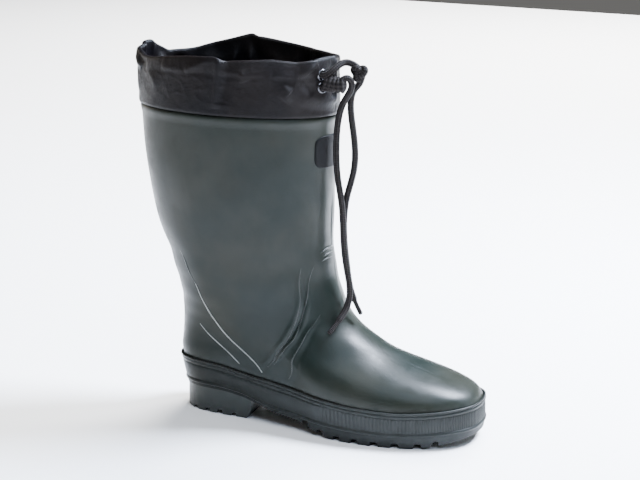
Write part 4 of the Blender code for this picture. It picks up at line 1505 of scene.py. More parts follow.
@dataclass
class FoxingBand:
    """The ribbed band between upper and sole."""

    form: BootForm
    rib_pitch: float = 0.0029
    rib_depth: float = 0.0008
    ribbed_from: float = 0.52
    points_per_rib: int = 5
    girth_steps: int = 900
    rib_blend: tuple[float, float] = (-0.02, 0.04)
    plain_heel: tuple[float, float] = (0.20, 0.52)
    plain_share: float = 0.55
    welt_span: tuple[float, float] = (0.7, 0.95)
    rib_sharpness: float = 1.5
    shallow: float = 0.0003
    dusty: float = 0.5
    clean: float = 0.1
    lip_inside: float = 0.8

    def _wall(self, around: Array, up: float, out: Array) -> Array:
        """Points on the outer wall at one share of its height.

        Args:
            around: Places around.
            up: Share of the wall's height.
            out: How far each point stands out.

        Returns:
            Points, one per row.
        """
        form = self.form
        foot = form.sole_outline(around)
        level = np.zeros(len(around))
        head = form.shell(around, level, np.full(len(around), form.band_lip))
        low = np.column_stack([foot, form.foot_of_band(foot[:, 0] / form.sole_length)])
        normal = form.normal(around, level)
        normal[:, 2] = 0
        normal /= np.linalg.norm(normal, axis=1, keepdims=True)
        return low + (head - low) * up + normal * out[:, None]

    def build(self, effects: Effects) -> None:
        """Make the band and dress it.

        Args:
            effects: The shared effects.
        """
        form = self.form
        girth = np.linalg.norm(np.diff(form.sole_outline(places(self.girth_steps)), axis=0), axis=1).sum()
        ribs = int(girth / self.rib_pitch)
        around = places(ribs * self.points_per_rib)
        way, _ = form.way_and_side(around)
        along = form.along_of(way)
        before, after = self.rib_blend
        ribbed = smooth_step(along, self.ribbed_from + before, self.ribbed_from + after)
        phase = np.arange(len(around)) / self.points_per_rib
        groove = np.clip(0.5 - np.cos(2 * np.pi * phase), 0, 1) ** self.rib_sharpness * ribbed
        plain = (1 - smooth_step(along, *self.plain_heel)) * self.plain_share
        welt_low, welt_high = self.welt_span
        rings, hollow = [], []
        for point in BAND_PROFILE:
            soft = 1 - plain * (1 if welt_low < point.up < welt_high else 0)
            out = point.out * soft - self.rib_depth * point.ribs * groove
            rings.append(self._wall(around, point.up, out))
            dust = self.dusty if point.out < self.shallow else self.clean
            hollow.append(np.full(len(around), dust))
        rings.append(form.shell(around, 0.0, np.full(len(around), form.band_lip * self.lip_inside)))
        rings.append(form.shell(around, 0.0, np.full(len(around), form.clearance)))
        rings.append(form.feather(around, form.clearance))
        hollow += [np.zeros(len(around))] * 3
        mesh = ring_mesh("band_skin", np.array(rings))
        mark(mesh, "hollow", np.array(hollow))
        made = piece_of("band_skin", mesh, form)
        made.data.materials.append(BAND_RUBBER.make(effects))
        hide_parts("foxing_band")


class RimPlace(NamedTuple):
    """A corner of the cuff's rim, and its rise above the even rim or its lean in cuff heights."""

    around: float
    share: float


CLOTH_RIM = (
    RimPlace(0.000, 0.000),
    RimPlace(0.040, -0.020),
    RimPlace(0.080, -0.050),
    RimPlace(0.140, -0.035),
    RimPlace(0.200, 0.010),
    RimPlace(0.255, 0.088),
    RimPlace(0.259, 0.080),
    RimPlace(0.264, 0.118),
    RimPlace(0.270, 0.128),
    RimPlace(0.300, 0.030),
    RimPlace(0.367, -0.165),
    RimPlace(0.380, -0.178),
    RimPlace(0.425, -0.195),
    RimPlace(0.440, -0.130),
    RimPlace(0.480, 0.025),
    RimPlace(0.500, 0.010),
    RimPlace(0.540, -0.060),
    RimPlace(0.580, -0.150),
    RimPlace(0.620, -0.140),
    RimPlace(0.660, -0.090),
    RimPlace(0.700, -0.045),
    RimPlace(0.745, -0.015),
    RimPlace(0.755, -0.030),
    RimPlace(0.763, -0.082),
    RimPlace(0.800, -0.050),
    RimPlace(0.840, -0.026),
    RimPlace(0.885, -0.062),
    RimPlace(0.905, -0.040),
    RimPlace(0.945, 0.012),
    RimPlace(0.985, 0.018),
    RimPlace(1.000, 0.000),
)

CLOTH_LEAN = (
    RimPlace(0.000, -0.040),
    RimPlace(0.060, -0.030),
    RimPlace(0.110, -0.050),
    RimPlace(0.160, -0.020),
    RimPlace(0.220, 0.015),
    RimPlace(0.300, -0.015),
    RimPlace(0.370, 0.025),
    RimPlace(0.430, -0.030),
    RimPlace(0.470, 0.000),
    RimPlace(0.520, -0.005),
    RimPlace(0.560, -0.010),
    RimPlace(0.600, -0.025),
    RimPlace(0.660, -0.060),
    RimPlace(0.745, -0.050),
    RimPlace(0.758, -0.020),
    RimPlace(0.775, -0.090),
    RimPlace(0.840, -0.120),
    RimPlace(0.885, -0.075),
    RimPlace(0.905, -0.025),
    RimPlace(0.945, -0.030),
    RimPlace(0.980, -0.035),
    RimPlace(1.000, -0.040),
)


class Fold(NamedTuple):
    """A ridge or hollow of the cuff between two places, with sharp crest, its half-width and its height."""

    around: float
    up: float
    to_around: float
    to_up: float
    half_width: float
    out: float


OUTER_FOLDS = (
    Fold(0.757, 0.96, 0.753, 0.12, 0.0040, 0.0026),
    Fold(0.768, 0.94, 0.762, 0.20, 0.0060, -0.0023),
    Fold(0.745, 0.97, 0.700, 0.74, 0.0040, 0.0016),
    Fold(0.700, 0.74, 0.650, 0.80, 0.0040, 0.0014),
    Fold(0.770, 0.80, 0.840, 0.72, 0.0045, 0.0020),
    Fold(0.840, 0.72, 0.888, 0.74, 0.0040, 0.0017),
    Fold(0.793, 0.78, 0.799, 0.62, 0.0030, 0.0020),
    Fold(0.860, 0.56, 0.872, 0.44, 0.0035, 0.0026),
    Fold(0.872, 0.44, 0.862, 0.30, 0.0040, 0.0019),
    Fold(0.850, 0.64, 0.880, 0.60, 0.0050, -0.0017),
    Fold(0.890, 0.74, 0.925, 0.97, 0.0040, 0.0023),
    Fold(0.893, 0.70, 0.915, 0.40, 0.0045, -0.0022),
    Fold(0.905, 0.34, 0.985, 0.24, 0.0070, 0.0023),
    Fold(0.900, 0.18, 0.990, 0.10, 0.0060, -0.0013),
    Fold(0.965, 0.80, 0.972, 0.30, 0.0040, -0.0026),
    Fold(0.980, 0.90, 0.984, 0.20, 0.0040, 0.0026),
    Fold(0.535, 0.98, 0.585, 0.72, 0.0050, 0.0032),
    Fold(0.515, 0.96, 0.545, 0.60, 0.0050, -0.0023),
    Fold(0.550, 0.99, 0.610, 0.80, 0.0040, -0.0020),
    Fold(0.560, 0.70, 0.566, 0.20, 0.0060, 0.0019),
    Fold(0.615, 0.70, 0.640, 0.35, 0.0050, 0.0012),
    Fold(0.500, 0.90, 0.508, 0.20, 0.0050, 0.0023),
    Fold(0.475, 0.95, 0.470, 0.30, 0.0050, -0.0026),
    Fold(0.450, 0.90, 0.430, 0.25, 0.0050, 0.0023),
    Fold(0.390, 0.90, 0.400, 0.30, 0.0050, -0.0022),
    Fold(0.330, 0.95, 0.345, 0.20, 0.0055, 0.0023),
    Fold(0.268, 0.99, 0.272, 0.15, 0.0050, 0.0026),
    Fold(0.255, 0.90, 0.252, 0.25, 0.0050, -0.0026),
    Fold(0.200, 0.95, 0.185, 0.20, 0.0055, 0.0020),
    Fold(0.140, 0.90, 0.150, 0.25, 0.0050, -0.0023),
    Fold(0.080, 0.92, 0.070, 0.20, 0.0050, 0.0023),
    Fold(0.030, 0.90, 0.034, 0.30, 0.0045, -0.0026),
)

INNER_FOLDS = (
    Fold(0.290, 0.97, 0.302, 0.40, 0.0040, -0.0045),
    Fold(0.281, 0.95, 0.287, 0.45, 0.0040, 0.0030),
    Fold(0.272, 0.97, 0.266, 0.40, 0.0040, -0.0045),
    Fold(0.259, 0.97, 0.256, 0.45, 0.0040, 0.0036),
    Fold(0.240, 0.90, 0.205, 0.40, 0.0060, -0.0024),
    Fold(0.178, 0.94, 0.190, 0.40, 0.0050, -0.0039),
    Fold(0.165, 0.90, 0.150, 0.40, 0.0050, 0.0039),
    Fold(0.148, 0.95, 0.132, 0.45, 0.0045, -0.0036),
    Fold(0.120, 0.95, 0.110, 0.45, 0.0050, 0.0027),
    Fold(0.350, 0.90, 0.320, 0.40, 0.0070, -0.0021),
    Fold(0.410, 0.92, 0.385, 0.45, 0.0050, 0.0024),
    Fold(0.440, 0.95, 0.450, 0.45, 0.0045, -0.0036),
    Fold(0.070, 0.90, 0.060, 0.40, 0.0050, -0.0030),
    Fold(0.600, 0.90, 0.610, 0.40, 0.0060, -0.0024),
    Fold(0.700, 0.90, 0.690, 0.40, 0.0060, 0.0024),
    Fold(0.820, 0.90, 0.830, 0.40, 0.0060, -0.0024),
    Fold(0.900, 0.90, 0.895, 0.40, 0.0050, 0.0024),
)


@dataclass
class Cuff:
    """The gathered nylon cuff: one cloth up the outside, over the rim and down inside."""

    form: BootForm
    wall: float = 0.0024
    around_count: int = 760
    outer_rows: int = 74
    roll_rows: int = 9
    inner_rows: int = 34
    roll_up: float = 0.955
    inner_end: float = 0.215
    crinkle: float = 0.00022
    puff: float = 0.0010
    flat_girth: float = 0.56
    flat_height: float = 0.110
    first_row: float = 0.012
    hem_share: float = 0.75
    puff_from: float = 0.70
    puff_span: float = 0.34
    outer_seed: float = 0.6
    inner_seed: float = 3.1
    fold_start: float = 0.15
    fold_spread: float = 0.6
    fold_fall: float = 1.5
    rise_from: float = 0.15
    lean_from: float = 0.62
    lean_most: float = 1.2
    lean_high: float = 0.7
    lean_soft: float = 0.006

    def _folds(self, folds: Sequence[Fold], around: Array, up: Array) -> Array:
        """How far a set of folds pushes the cloth out.

        Args:
            folds: The folds.
            around: Places around.
            up: Heights as shares of the cuff's.

        Returns:
            A distance per place.
        """
        total = np.zeros(np.broadcast(around, up).shape)
        girth, height = self.flat_girth, self.form.cuff_height
        for fold in folds:
            x = ((around - fold.around + 0.5) % 1 - 0.5) * girth
            y = (up - fold.up) * height
            run_x, run_y = (fold.to_around - fold.around) * girth, (fold.to_up - fold.up) * height
            length = math.hypot(run_x, run_y)
            share = np.clip((x * run_x + y * run_y) / length**2, 0, 1)
            gap = np.hypot(x - share * run_x, y - share * run_y) / fold.half_width
            passed = self.fold_start + (1 - self.fold_start) * share
            fade = np.sqrt(np.sin(np.pi * np.clip(passed, 0, 1)))
            total = total + fold.out * fade / (1 + self.fold_spread * gap**2) ** self.fold_fall
        return total

    def _place(self, around: Array, up: Array, out: Array) -> Array:
        """Points of the cloth.

        Args:
            around: Places around.
            up: Heights as shares of the cuff's.
            out: How far they stand out from the shaft's line.

        Returns:
            Points, with x, y and z last.
        """
        form = self.form
        base = form.skin(around, 1.0)
        normal = form.normal(around, np.ones(around.shape))
        normal[..., 2] = 0
        normal /= np.linalg.norm(normal, axis=-1, keepdims=True)
        rise, lean = bent(CLOTH_RIM)(around), bent(CLOTH_LEAN, self.lean_soft)(around)
        high = smooth_step(up, self.rise_from, 1.0)
        bending = np.clip((up - self.lean_from) / (1 - self.lean_from), 0, self.lean_most)
        tilt = self.lean_high * bending + (1 - self.lean_high) * high
        point = base + normal * (out + lean * tilt * form.cuff_height)[..., None]
        point[..., 2] = form.collar_height + form.clearance + up * form.cuff_height * (1 + high * rise)
        return point

    def _crinkles(self, around: Array, up: Array, seed: float) -> Array:
        """Small sharp crinkles of the thin cloth.

        Args:
            around: Places around.
            up: Heights as shares of the cuff's.
            seed: Shifts the pattern.

        Returns:
            A distance per place.
        """
        coarse = ridged(around * 15 + up, up * 1.6, seed) - 0.3
        fine = ridged(around * 37 - up * 2, up * 3.9, seed + 1.7) - 0.3
        return self.crinkle * (coarse + 0.45 * fine) * smooth_step(up, 0.06, 0.35)

    def build(self, effects: Effects) -> None:
        """Make the cuff and dress it.

        Args:
            effects: The shared effects.
        """
        around = places(self.around_count)
        rings = []
        for up in np.concatenate([[0.0], np.linspace(self.first_row, self.roll_up, self.outer_rows)]):
            here = np.full(self.around_count, up)
            hem = self.hem_share + (1 - self.hem_share) * smooth_step(here, 0.0, 0.04)
            hem = self.wall * hem
            push = self._folds(OUTER_FOLDS, around, here) + self._crinkles(around, here, self.outer_seed)
            swell = np.clip((here - self.puff_from) / self.puff_span, 0, 1)
            swell = self.puff * np.sin(np.pi * swell)
            rings.append(self._place(around, here, hem + swell + push * smooth_step(here, 0.0, 0.10)))
        # The rim carries on from the last outer row: its push and its swell.
        top_push, top = push, self.wall + swell
        roll = self.wall * self.hem_share + self.puff * 0.7
        for turn in np.linspace(0, np.pi, self.roll_rows + 2)[1:-1]:
            here = np.full(self.around_count, self.roll_up + math.sin(turn) * roll / self.form.cuff_height)
            rings.append(self._place(around, here, top - roll * (1 - math.cos(turn)) + top_push))
        for up in np.linspace(self.roll_up, self.inner_end, self.inner_rows):
            here = np.full(self.around_count, up)
            blend = smooth_step(here, 0.62, self.roll_up)
            push = self._folds(INNER_FOLDS, around, here) * (1 - 0.4 * blend)
            push = push - self._crinkles(around, here, self.inner_seed)
            inside = self.wall - 2 * self.wall * self.hem_share
            back = inside * (1 - blend) + (top - 2 * roll) * blend
            rings.append(self._place(around, here, back + push * (1 - blend) + top_push * blend))
        mesh = ring_mesh("cuff_cloth", np.array(rings), joined=False)
        made = piece_of("cuff_cloth", mesh, self.form)
        made.data.materials.append(CUFF_NYLON.make(effects))
        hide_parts("cuff")


@dataclass
class BadgePlate:
    """The bare raised plate on the front of the shaft."""

    form: BootForm
    half_span: float = 0.0730
    level: float = 0.942
    half_rise: float = 0.027
    thickness: float = 0.0011
    rows: int = 30
    columns: int = 84
    power: float = 5.0
    innermost: float = 0.05
    flat_share: float = 0.93
    stand: float = 1.5

    def build(self, effects: Effects) -> None:
        """Make the plate and dress it.

        Args:
            effects: The shared effects.
        """
        form = self.form
        edge = np.array([0.0, 0.25, 0.6, 0.85, 1.0])
        flat_rows = np.linspace(self.innermost, self.flat_share, self.rows)
        edge_rows = self.flat_share + (1 - self.flat_share) * edge[1:]
        sizes = np.concatenate([flat_rows, edge_rows, [1.0]])
        rounded = np.concatenate([np.ones(self.rows), 1 - edge[1:] ** 3, [0.0]])
        turn = 2 * np.pi * places(self.columns)
        flat = np.abs(np.cos(turn)) ** self.power + np.abs(np.sin(turn)) ** self.power
        reach = flat ** (-1 / self.power)
        rings = []
        for size, height in zip(sizes, rounded):
            around = size * reach * np.cos(turn) * self.half_span
            level = self.level + size * reach * np.sin(turn) * self.half_rise
            out = form.clearance * self.stand + self.thickness * height
            rings.append(form.shell(around, level, np.full(self.columns, out)))
        mesh = ring_mesh("badge_plate_face", np.array(rings), joined=False)
        middle = len(mesh.vertices)
        mesh.vertices.add(1)
        top = form.clearance * self.stand + self.thickness
        centre = form.shell(np.zeros(1), np.full(1, self.level), np.full(1, top))
        mesh.vertices[middle].co = centre[0]
        self._close(mesh, middle)
        made = piece_of("badge_plate_face", mesh, form)
        made.data.materials.append(PLATE_RUBBER.make(effects))
        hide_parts("badge_plate")

    def _close(self, mesh: bpy.types.Mesh, middle: int) -> None:
        """Close the plate's middle with a fan.

        Args:
            mesh: The plate's mesh, its innermost ring first.
            middle: Index of the middle point.
        """
        shaped = bmesh.new()
        shaped.from_mesh(mesh)
        shaped.verts.ensure_lookup_table()
        for i in range(self.columns):
            beside = shaped.verts[(i + 1) % self.columns]
            shaped.faces.new((shaped.verts[middle], beside, shaped.verts[i])).smooth = True
        bmesh.ops.recalc_face_normals(shaped, faces=shaped.faces)
        shaped.to_mesh(mesh)
        shaped.free()


class CordPoint(NamedTuple):
    """A place that the drawcord passes: ahead of the collar, to the inner side, above the ground."""

    ahead: float
    aside: float
    up: float


class Side(Enum):
    """The two ends of the drawcord, as seen from the toe."""

    RIGHT = "right"
    LEFT = "left"


CORD_ROUTES = {
    Side.RIGHT: (
        CordPoint(0.0085, -0.0200, 0.3455),
        CordPoint(0.0140, -0.0135, 0.3475),
        CordPoint(0.0220, -0.0120, 0.3445),
        CordPoint(0.0275, -0.0120, 0.3375),
        CordPoint(0.0260, -0.0110, 0.3295),
        CordPoint(0.0200, -0.0085, 0.3220),
        CordPoint(0.0168, -0.0065, 0.3110),
        CordPoint(0.0180, -0.0060, 0.2950),
        CordPoint(0.0213, -0.0060, 0.2755),
        CordPoint(0.0220, -0.0060, 0.2475),
        CordPoint(0.0165, -0.0055, 0.2231),
        CordPoint(0.0140, -0.0050, 0.2000),
        CordPoint(0.0155, -0.0048, 0.1748),
        CordPoint(0.0190, -0.0045, 0.1510),
        CordPoint(0.0235, -0.0040, 0.1300),
        CordPoint(0.0285, -0.0030, 0.1180),
        CordPoint(0.0330, 0.0000, 0.1075),
    ),
    Side.LEFT: (
        CordPoint(0.0080, -0.0275, 0.3262),
        CordPoint(0.0125, -0.0255, 0.3320),
        CordPoint(0.0180, -0.0225, 0.3345),
        CordPoint(0.0208, -0.0195, 0.3290),
        CordPoint(0.0185, -0.0175, 0.3210),
        CordPoint(0.0125, -0.0150, 0.3110),
        CordPoint(0.0075, -0.0125, 0.2950),
        CordPoint(0.0062, -0.0120, 0.2660),
        CordPoint(0.0085, -0.0120, 0.2400),
        CordPoint(0.0130, -0.0125, 0.2180),
        CordPoint(0.0172, -0.0130, 0.1766),
        CordPoint(0.0212, -0.0130, 0.1528),
        CordPoint(0.0247, -0.0135, 0.1336),
        CordPoint(0.0232, -0.0150, 0.1190),
        CordPoint(0.0180, -0.0250, 0.1060),
        CordPoint(0.0120, -0.0350, 0.0955),
    ),
}

EYELET_FACE = (
    CuffRow(0.000, 0.80, 0.00),
    CuffRow(0.080, 1.00, 0.02),
    CuffRow(0.420, 0.95, 0.30),
    CuffRow(0.760, 0.90, 0.75),
    CuffRow(0.930, 0.95, 1.00),
    CuffRow(0.995, 0.55, 1.00),
)


@dataclass
class Eyelets:
    """The two rings in the cuff that the drawcord comes out of."""

    form: BootForm
    around: float = 0.938
    height: float = 0.336
    pitch: float = 0.0112
    radius: float = 0.0046
    tube: float = 0.0009
    cuff_wall: float = 0.0026

    def seat(self, side: Side) -> tuple[Array, Array]:
        """Centre and outward normal of one ring, in the sole's own frame.

        Args:
            side: The drawcord's end that it holds.

        Returns:
            The centre and the normal.
        """
        form = self.form
        height = self.height - self.pitch * (side is Side.LEFT)
        around = np.array([self.around])
        up = (height - form.collar_height) / form.cuff_height
        face = curves_of(EYELET_FACE, "up", steady)
        normal = form.normal(around, np.ones(1))[0] * np.array([1, 1, 0])
        normal /= np.linalg.norm(normal)
        lean = face["fold"](up) * form.rim["lean"](around) * form.cuff_height
        centre = form.skin(around, np.ones(1))[0] + normal * (face["out"](up) * self.cuff_wall + lean)
        centre[2] = height
        return centre + normal * (self.tube + form.clearance), normal

    def build(self, effects: Effects) -> None:
        """Make both rings and dress them.

        Args:
            effects: The shared effects.
        """
        for side, node in ((Side.RIGHT, "eyelet_upper"), (Side.LEFT, "eyelet_lower")):
            centre, normal = self.seat(side)
            across = np.cross(normal, (0, 0, 1))
            turn = 2 * np.pi * places(48)
            rings = []
            for angle in 2 * np.pi * places(16):
                reach = self.radius + self.tube * np.cos(angle)
                plan = reach * (np.cos(turn)[:, None] * across + np.sin(turn)[:, None] * np.array([0, 0, 1]))
                rings.append(centre + plan + normal * self.tube * np.sin(angle))
            ring = piece_of(f"{node}_ring", ring_mesh(f"{node}_ring", np.array(rings)), self.form)
            ring.data.materials.append(RING_STEEL.make(effects))
            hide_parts(node)


@dataclass
class Drawcord:
    """The braided drawcord from its eyelets through the knot to its thin tips."""

    form: BootForm
    eyelets: Eyelets
    radius: float = 0.0031
    tip_radius: float = 0.0021
    tip_length: float = 0.018
    plait: float = 0.0032
    sides: int = 20
    spacing: float = 0.0008
    tip_taper: float = 0.004
    tip_blunt: float = 0.0004
    path_stride: int = 3
    plaits_around: float = 4.0

    def _route(self, side: Side) -> Array:
        """Close points along one end of the drawcord.

        Args:
            side: The end.

        Returns:
            Points in the sole's own frame, one per row.
        """
        centre, normal = self.eyelets.seat(side)
        collar = self.form.skin(np.zeros(1), np.ones(1))[0]
        own = [(collar[0] + p.ahead, p.aside, p.up) for p in CORD_ROUTES[side]]
        chosen = np.array([centre - normal * self.eyelets.tube / 2, centre + normal * self.radius, *own])
        run = np.concatenate([[0], np.cumsum(np.linalg.norm(np.diff(chosen, axis=0), axis=1))])
        steps = np.linspace(0, run[-1], int(run[-1] / self.spacing))
        return np.stack([spline(run, chosen[:, axis])(steps) for axis in range(3)], axis=-1)

    def tube(self, name: str, line_points: Array, radius: Array) -> bpy.types.Mesh:
        """A tube with rounded ends along points.

        Args:
            name: The mesh's name.
            line_points: Points of the centre line.
            radius: Radius at each point.

        Returns:
            The mesh.
        """
        run = np.gradient(line_points, axis=0)
        run /= np.linalg.norm(run, axis=1, keepdims=True)
        side = np.zeros_like(run)
        side[0] = np.cross(run[0], (0.3, 1.0, 0.2))
        side[0] /= np.linalg.norm(side[0])
        for i in range(1, len(run)):
            carried = side[i - 1] - run[i] * (side[i - 1] @ run[i])
            side[i] = carried / np.linalg.norm(carried)
        other = np.cross(run, side)
        turn = 2 * np.pi * places(self.sides)
        rings = []
        for p, a, b, r in zip(line_points, side, other, radius):
            rings.append(p + r * (np.cos(turn)[:, None] * a + np.sin(turn)[:, None] * b))
        return ring_mesh(name, np.array(rings), joined=False)

    def build(self, effects: Effects, knots: Sequence[bpy.types.Object]) -> None:
        """Make both ends and dress them.

        Args:
            effects: The shared effects.
            knots: The wrap and the knot, which lie on the left and the right end. Not used.
        """
        for side, knot in zip((Side.LEFT, Side.RIGHT), knots):
            name = side.value
            fine = self._route(side)
            run = np.concatenate([[0], np.cumsum(np.linalg.norm(np.diff(fine, axis=0), axis=1))])
            to_end = run[-1] - run
            rounding = 1 - np.clip(1 - to_end / self.tip_radius, 0, 1) ** 2
            ending = np.sqrt(np.clip(rounding, self.tip_blunt, 1))
            thin = smooth_step(-to_end, -self.tip_length, -self.tip_length + self.tip_taper)
            thick = self.radius + (self.tip_radius - self.radius) * thin
            mesh = self.tube(f"cord_{name}", fine, thick * ending)
            cord = piece_of(f"cord_{name}", mesh, self.form)
            turns = run[-1] / self.plait
            look = f"cord_{name}_polyester"
            finish = CordFinish(look, CORD_BLACK, CORD_LIT, self.plaits_around, round(turns))
            cord.data.materials.append(finish.make(effects))
            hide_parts(f"cord_loop_{name}", f"cord_strand_{name}", f"cord_tip_{name}")
            path = fine[:: self.path_stride] + self.form.shift
            path = np.vstack([path, fine[-1] + self.form.shift])


@dataclass
class Knot:
    """The gathered wrap of the drawcord next to its eyelets, and the overhand knot at its far side."""

    form: BootForm
    cord: Drawcord
    wrap_radius: float = 0.0078
    wrap_pitch: float = 0.0040
    wrap_depth: float = 0.0015
    wrap_end: tuple[float, float, float] = (0.0365, -0.0225, 0.3285)
    knot_place: tuple[float, float, float] = (0.0448, -0.0130, 0.3388)
    knot_size: float = 0.0034
    wrap_stand: float = 0.0012
    wrap_sag: float = 0.0012
    wrap_steps: int = 90
    wrap_taper: float = 9.0
    knot_steps: int = 160
    knot_scale: float = 0.62
    knot_depth: float = 1.3
    knot_flat: float = 0.55
    knot_cord: float = 0.92
    plaits_around: float = 6.0
    plaits_along: float = 14.0

    def wrap(self) -> bpy.types.Mesh:
        """The ribbed wrap.

        Returns:
            Its mesh.
        """
        first, normal = self.cord.eyelets.seat(Side.RIGHT)
        second, _ = self.cord.eyelets.seat(Side.LEFT)
        start = (first + second) / 2 + normal * self.wrap_stand
        end = np.array(self.wrap_end) - self.form.shift
        steps = np.linspace(0, 1, self.wrap_steps)[:, None]
        sag = np.array([0, 0, -self.wrap_sag]) * np.sin(np.pi * steps)
        line_points = start + (end - start) * steps + sag
        length = np.linalg.norm(end - start)
        phase = steps[:, 0] * length / self.wrap_pitch
        swell = self.wrap_depth * np.abs(np.sin(np.pi * phase))
        ends = np.clip(np.minimum(steps[:, 0], 1 - steps[:, 0]) * self.wrap_taper, 0.05, 1) ** 0.5
        return self.cord.tube("cord_wrap", line_points, (self.wrap_radius - self.wrap_depth + swell) * ends)

    def knot(self) -> bpy.types.Mesh:
        """The overhand knot, a trefoil.

        Returns:
            Its mesh.
        """
        turn = np.linspace(0, 2 * np.pi, self.knot_steps)
        x = np.sin(turn) + 2 * np.sin(2 * turn)
        y = np.cos(turn) - 2 * np.cos(2 * turn)
        z = -self.knot_depth * np.sin(3 * turn)
        size = self.knot_size * self.knot_scale
        centre = np.array(self.knot_place) - self.form.shift
        line_points = centre + size * np.stack([x, self.knot_flat * z, y], axis=-1)
        radius = np.full(len(turn), self.cord.radius * self.knot_cord)
        return self.cord.tube("cord_knot", line_points, radius)

    def build(self, effects: Effects) -> list[bpy.types.Object]:
        """Make wrap and knot and dress them.

        Args:
            effects: The shared effects.

        Returns:
            The pieces.
        """
        made = []
        wrap, knot = ("cord_wrap", self.wrap(), Side.LEFT), ("cord_knot", self.knot(), Side.RIGHT)
        for name, mesh, side in (wrap, knot):
            piece = piece_of(name, mesh, self.form)
            look = f"{name}_polyester"
            finish = CordFinish(look, CORD_BLACK, CORD_LIT, self.plaits_around, self.plaits_along)
            piece.data.materials.append(finish.make(effects))
            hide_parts(f"cord_loop_{side.value}")
            made.append(piece)
        return made


class Notch(NamedTuple):
    """A notch across the heel's tread: its place from the heel's back, its half-width and its depth."""

    place: float
    half_width: float
    depth: float


HEEL_NOTCHES = (
    Notch(0.0165, 0.0016, 0.0028),
    Notch(0.0300, 0.0018, 0.0034),
    Notch(0.0585, 0.0018, 0.0030),
)


@dataclass
class Underfoot:
    """Heel and outsole with eased edges and the heel's notches, and the foot bed's felt."""

    form: BootForm
    ease: float = 0.00055
    spill: float = 0.004
    flare: float = 0.0008
    below: float = 0.001
    weld: float = 0.000002
    flat_angle: float = math.radians(0.4)
    edge_angle: float = math.radians(35)

    def _notch(self, notch: Notch) -> bpy.types.Object:
        """A prism that cuts one notch.

        Args:
            notch: Place and size of the notch.

        Returns:
            The prism, to be removed after the cut.
        """
        half, width = self.form.heel_width / 2 + self.spill, notch.half_width
        foot = width + self.flare
        profile = ((-foot, -self.below), (foot, -self.below), (width, notch.depth), (-width, notch.depth))
        points = [(notch.place + x, y, z) for y in (-half, half) for x, z in profile]
        mesh = bpy.data.meshes.new("notch")
        faces = [(0, 1, 2, 3), (7, 6, 5, 4), (4, 5, 1, 0), (5, 6, 2, 1), (6, 7, 3, 2), (7, 4, 0, 3)]
        mesh.from_pydata([tuple(p) for p in np.array(points) + self.form.shift], [], faces)
        made = bpy.data.objects.new("notch", mesh)
        bpy.context.scene.collection.objects.link(made)
        return made

    def _welded(self, node: str) -> bpy.types.Mesh:
        """A copy of a solid's mesh whose faces share their corners and whose flat sides are whole.

        Args:
            node: The solid's node.

        Returns:
            The copy.
        """
        whole = bmesh.new()
        whole.from_mesh(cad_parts[node].data)
        bmesh.ops.remove_doubles(whole, verts=whole.verts, dist=self.weld)
        bmesh.ops.dissolve_limit(
            whole, angle_limit=self.flat_angle, verts=whole.verts, edges=whole.edges
        )
        mesh = bpy.data.meshes.new(f"{node}_rubber")
        whole.to_mesh(mesh)
        whole.free()
        return mesh

    def _dress(
        self, node: str, finish: RubberFinish, effects: Effects, notches: Sequence[Notch] = ()
    ) -> None:
        """Make the dressed copy of one solid.

        Args:
            node: The solid's node.
            finish: Its finish.
            effects: The shared effects.
            notches: Notches to cut.
        """
        mesh = self._welded(node)
        made = bpy.data.objects.new(f"{node}_rubber", mesh)
        bpy.context.scene.collection.objects.link(made)
        cutters = [self._notch(notch) for notch in notches]
        for cutter in cutters:
            cut = made.modifiers.new("notch", "BOOLEAN")
            cut.operation = "DIFFERENCE"
            cut.solver = "EXACT"
            cut.object = cutter
        bevel = made.modifiers.new("ease", "BEVEL")
        bevel.width = self.ease
        bevel.segments = 2
        bevel.limit_method = "ANGLE"
        bevel.angle_limit = self.edge_angle
        bevel.harden_normals = True
        even = made.modifiers.new("even", "WEIGHTED_NORMAL")
        even.keep_sharp = True
        mesh.shade_smooth()
        depsgraph = bpy.context.evaluated_depsgraph_get()
        whole = bpy.data.meshes.new_from_object(made.evaluated_get(depsgraph))
        made.modifiers.clear()
        made.data = whole
        bpy.data.meshes.remove(mesh)
        for cutter in cutters:
            bpy.data.objects.remove(cutter)
        whole.materials.clear()
        whole.materials.append(finish.make(effects))
        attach(made, "root")
        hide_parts(node)
        LOG.info("%s: %d faces", made.name, len(whole.polygons))

    def build(self, effects: Effects) -> None:
        """Dress heel, outsole and insole.

        Args:
            effects: The shared effects.
        """
        self._dress("heel", HEEL_RUBBER, effects, HEEL_NOTCHES)
        self._dress("outsole", SOLE_RUBBER, effects)
        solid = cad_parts["insole"]
        solid.data.materials.clear()
        solid.data.materials.append(BED_FELT.make(effects))
        LOG.info("insole keeps its solid")


# Studio


@dataclass
class Lamp:
    """A soft box: its place, its size and its power."""

    name: str
    place: tuple[float, float, float]
    size: float
    power: float
    colour: Colour = (1.0, 1.0, 1.0)
    aim: tuple[float, float, float] = (0.0, 0.0, 0.15)
    mirrored: bool = True


LAMPS = (
    Lamp("instep", (0.78, 0.62, 1.50), 0.66, 250.0, (0.74, 0.83, 1.0)),
    Lamp("glow", (0.56, -0.86, 1.45), 1.0, 18.0, (0.66, 0.79, 1.0)),
    Lamp("backdrop", (0.3, 3.0, 2.4), 2.6, 660.0, (1.0, 1.0, 1.0), (0.3, 2.0, 0.0), mirrored=False),
    Lamp("left", (-1.7, 0.5, 0.5), 1.0, 6.0, (1.0, 0.90, 0.80)),
    Lamp("right", (1.9, -0.5, 0.8), 1.2, 5.0, (0.86, 0.92, 1.0)),
    Lamp("floor", (-0.2, -0.5, 2.0), 1.2, 20.0, (1.0, 0.99, 0.97)),
)


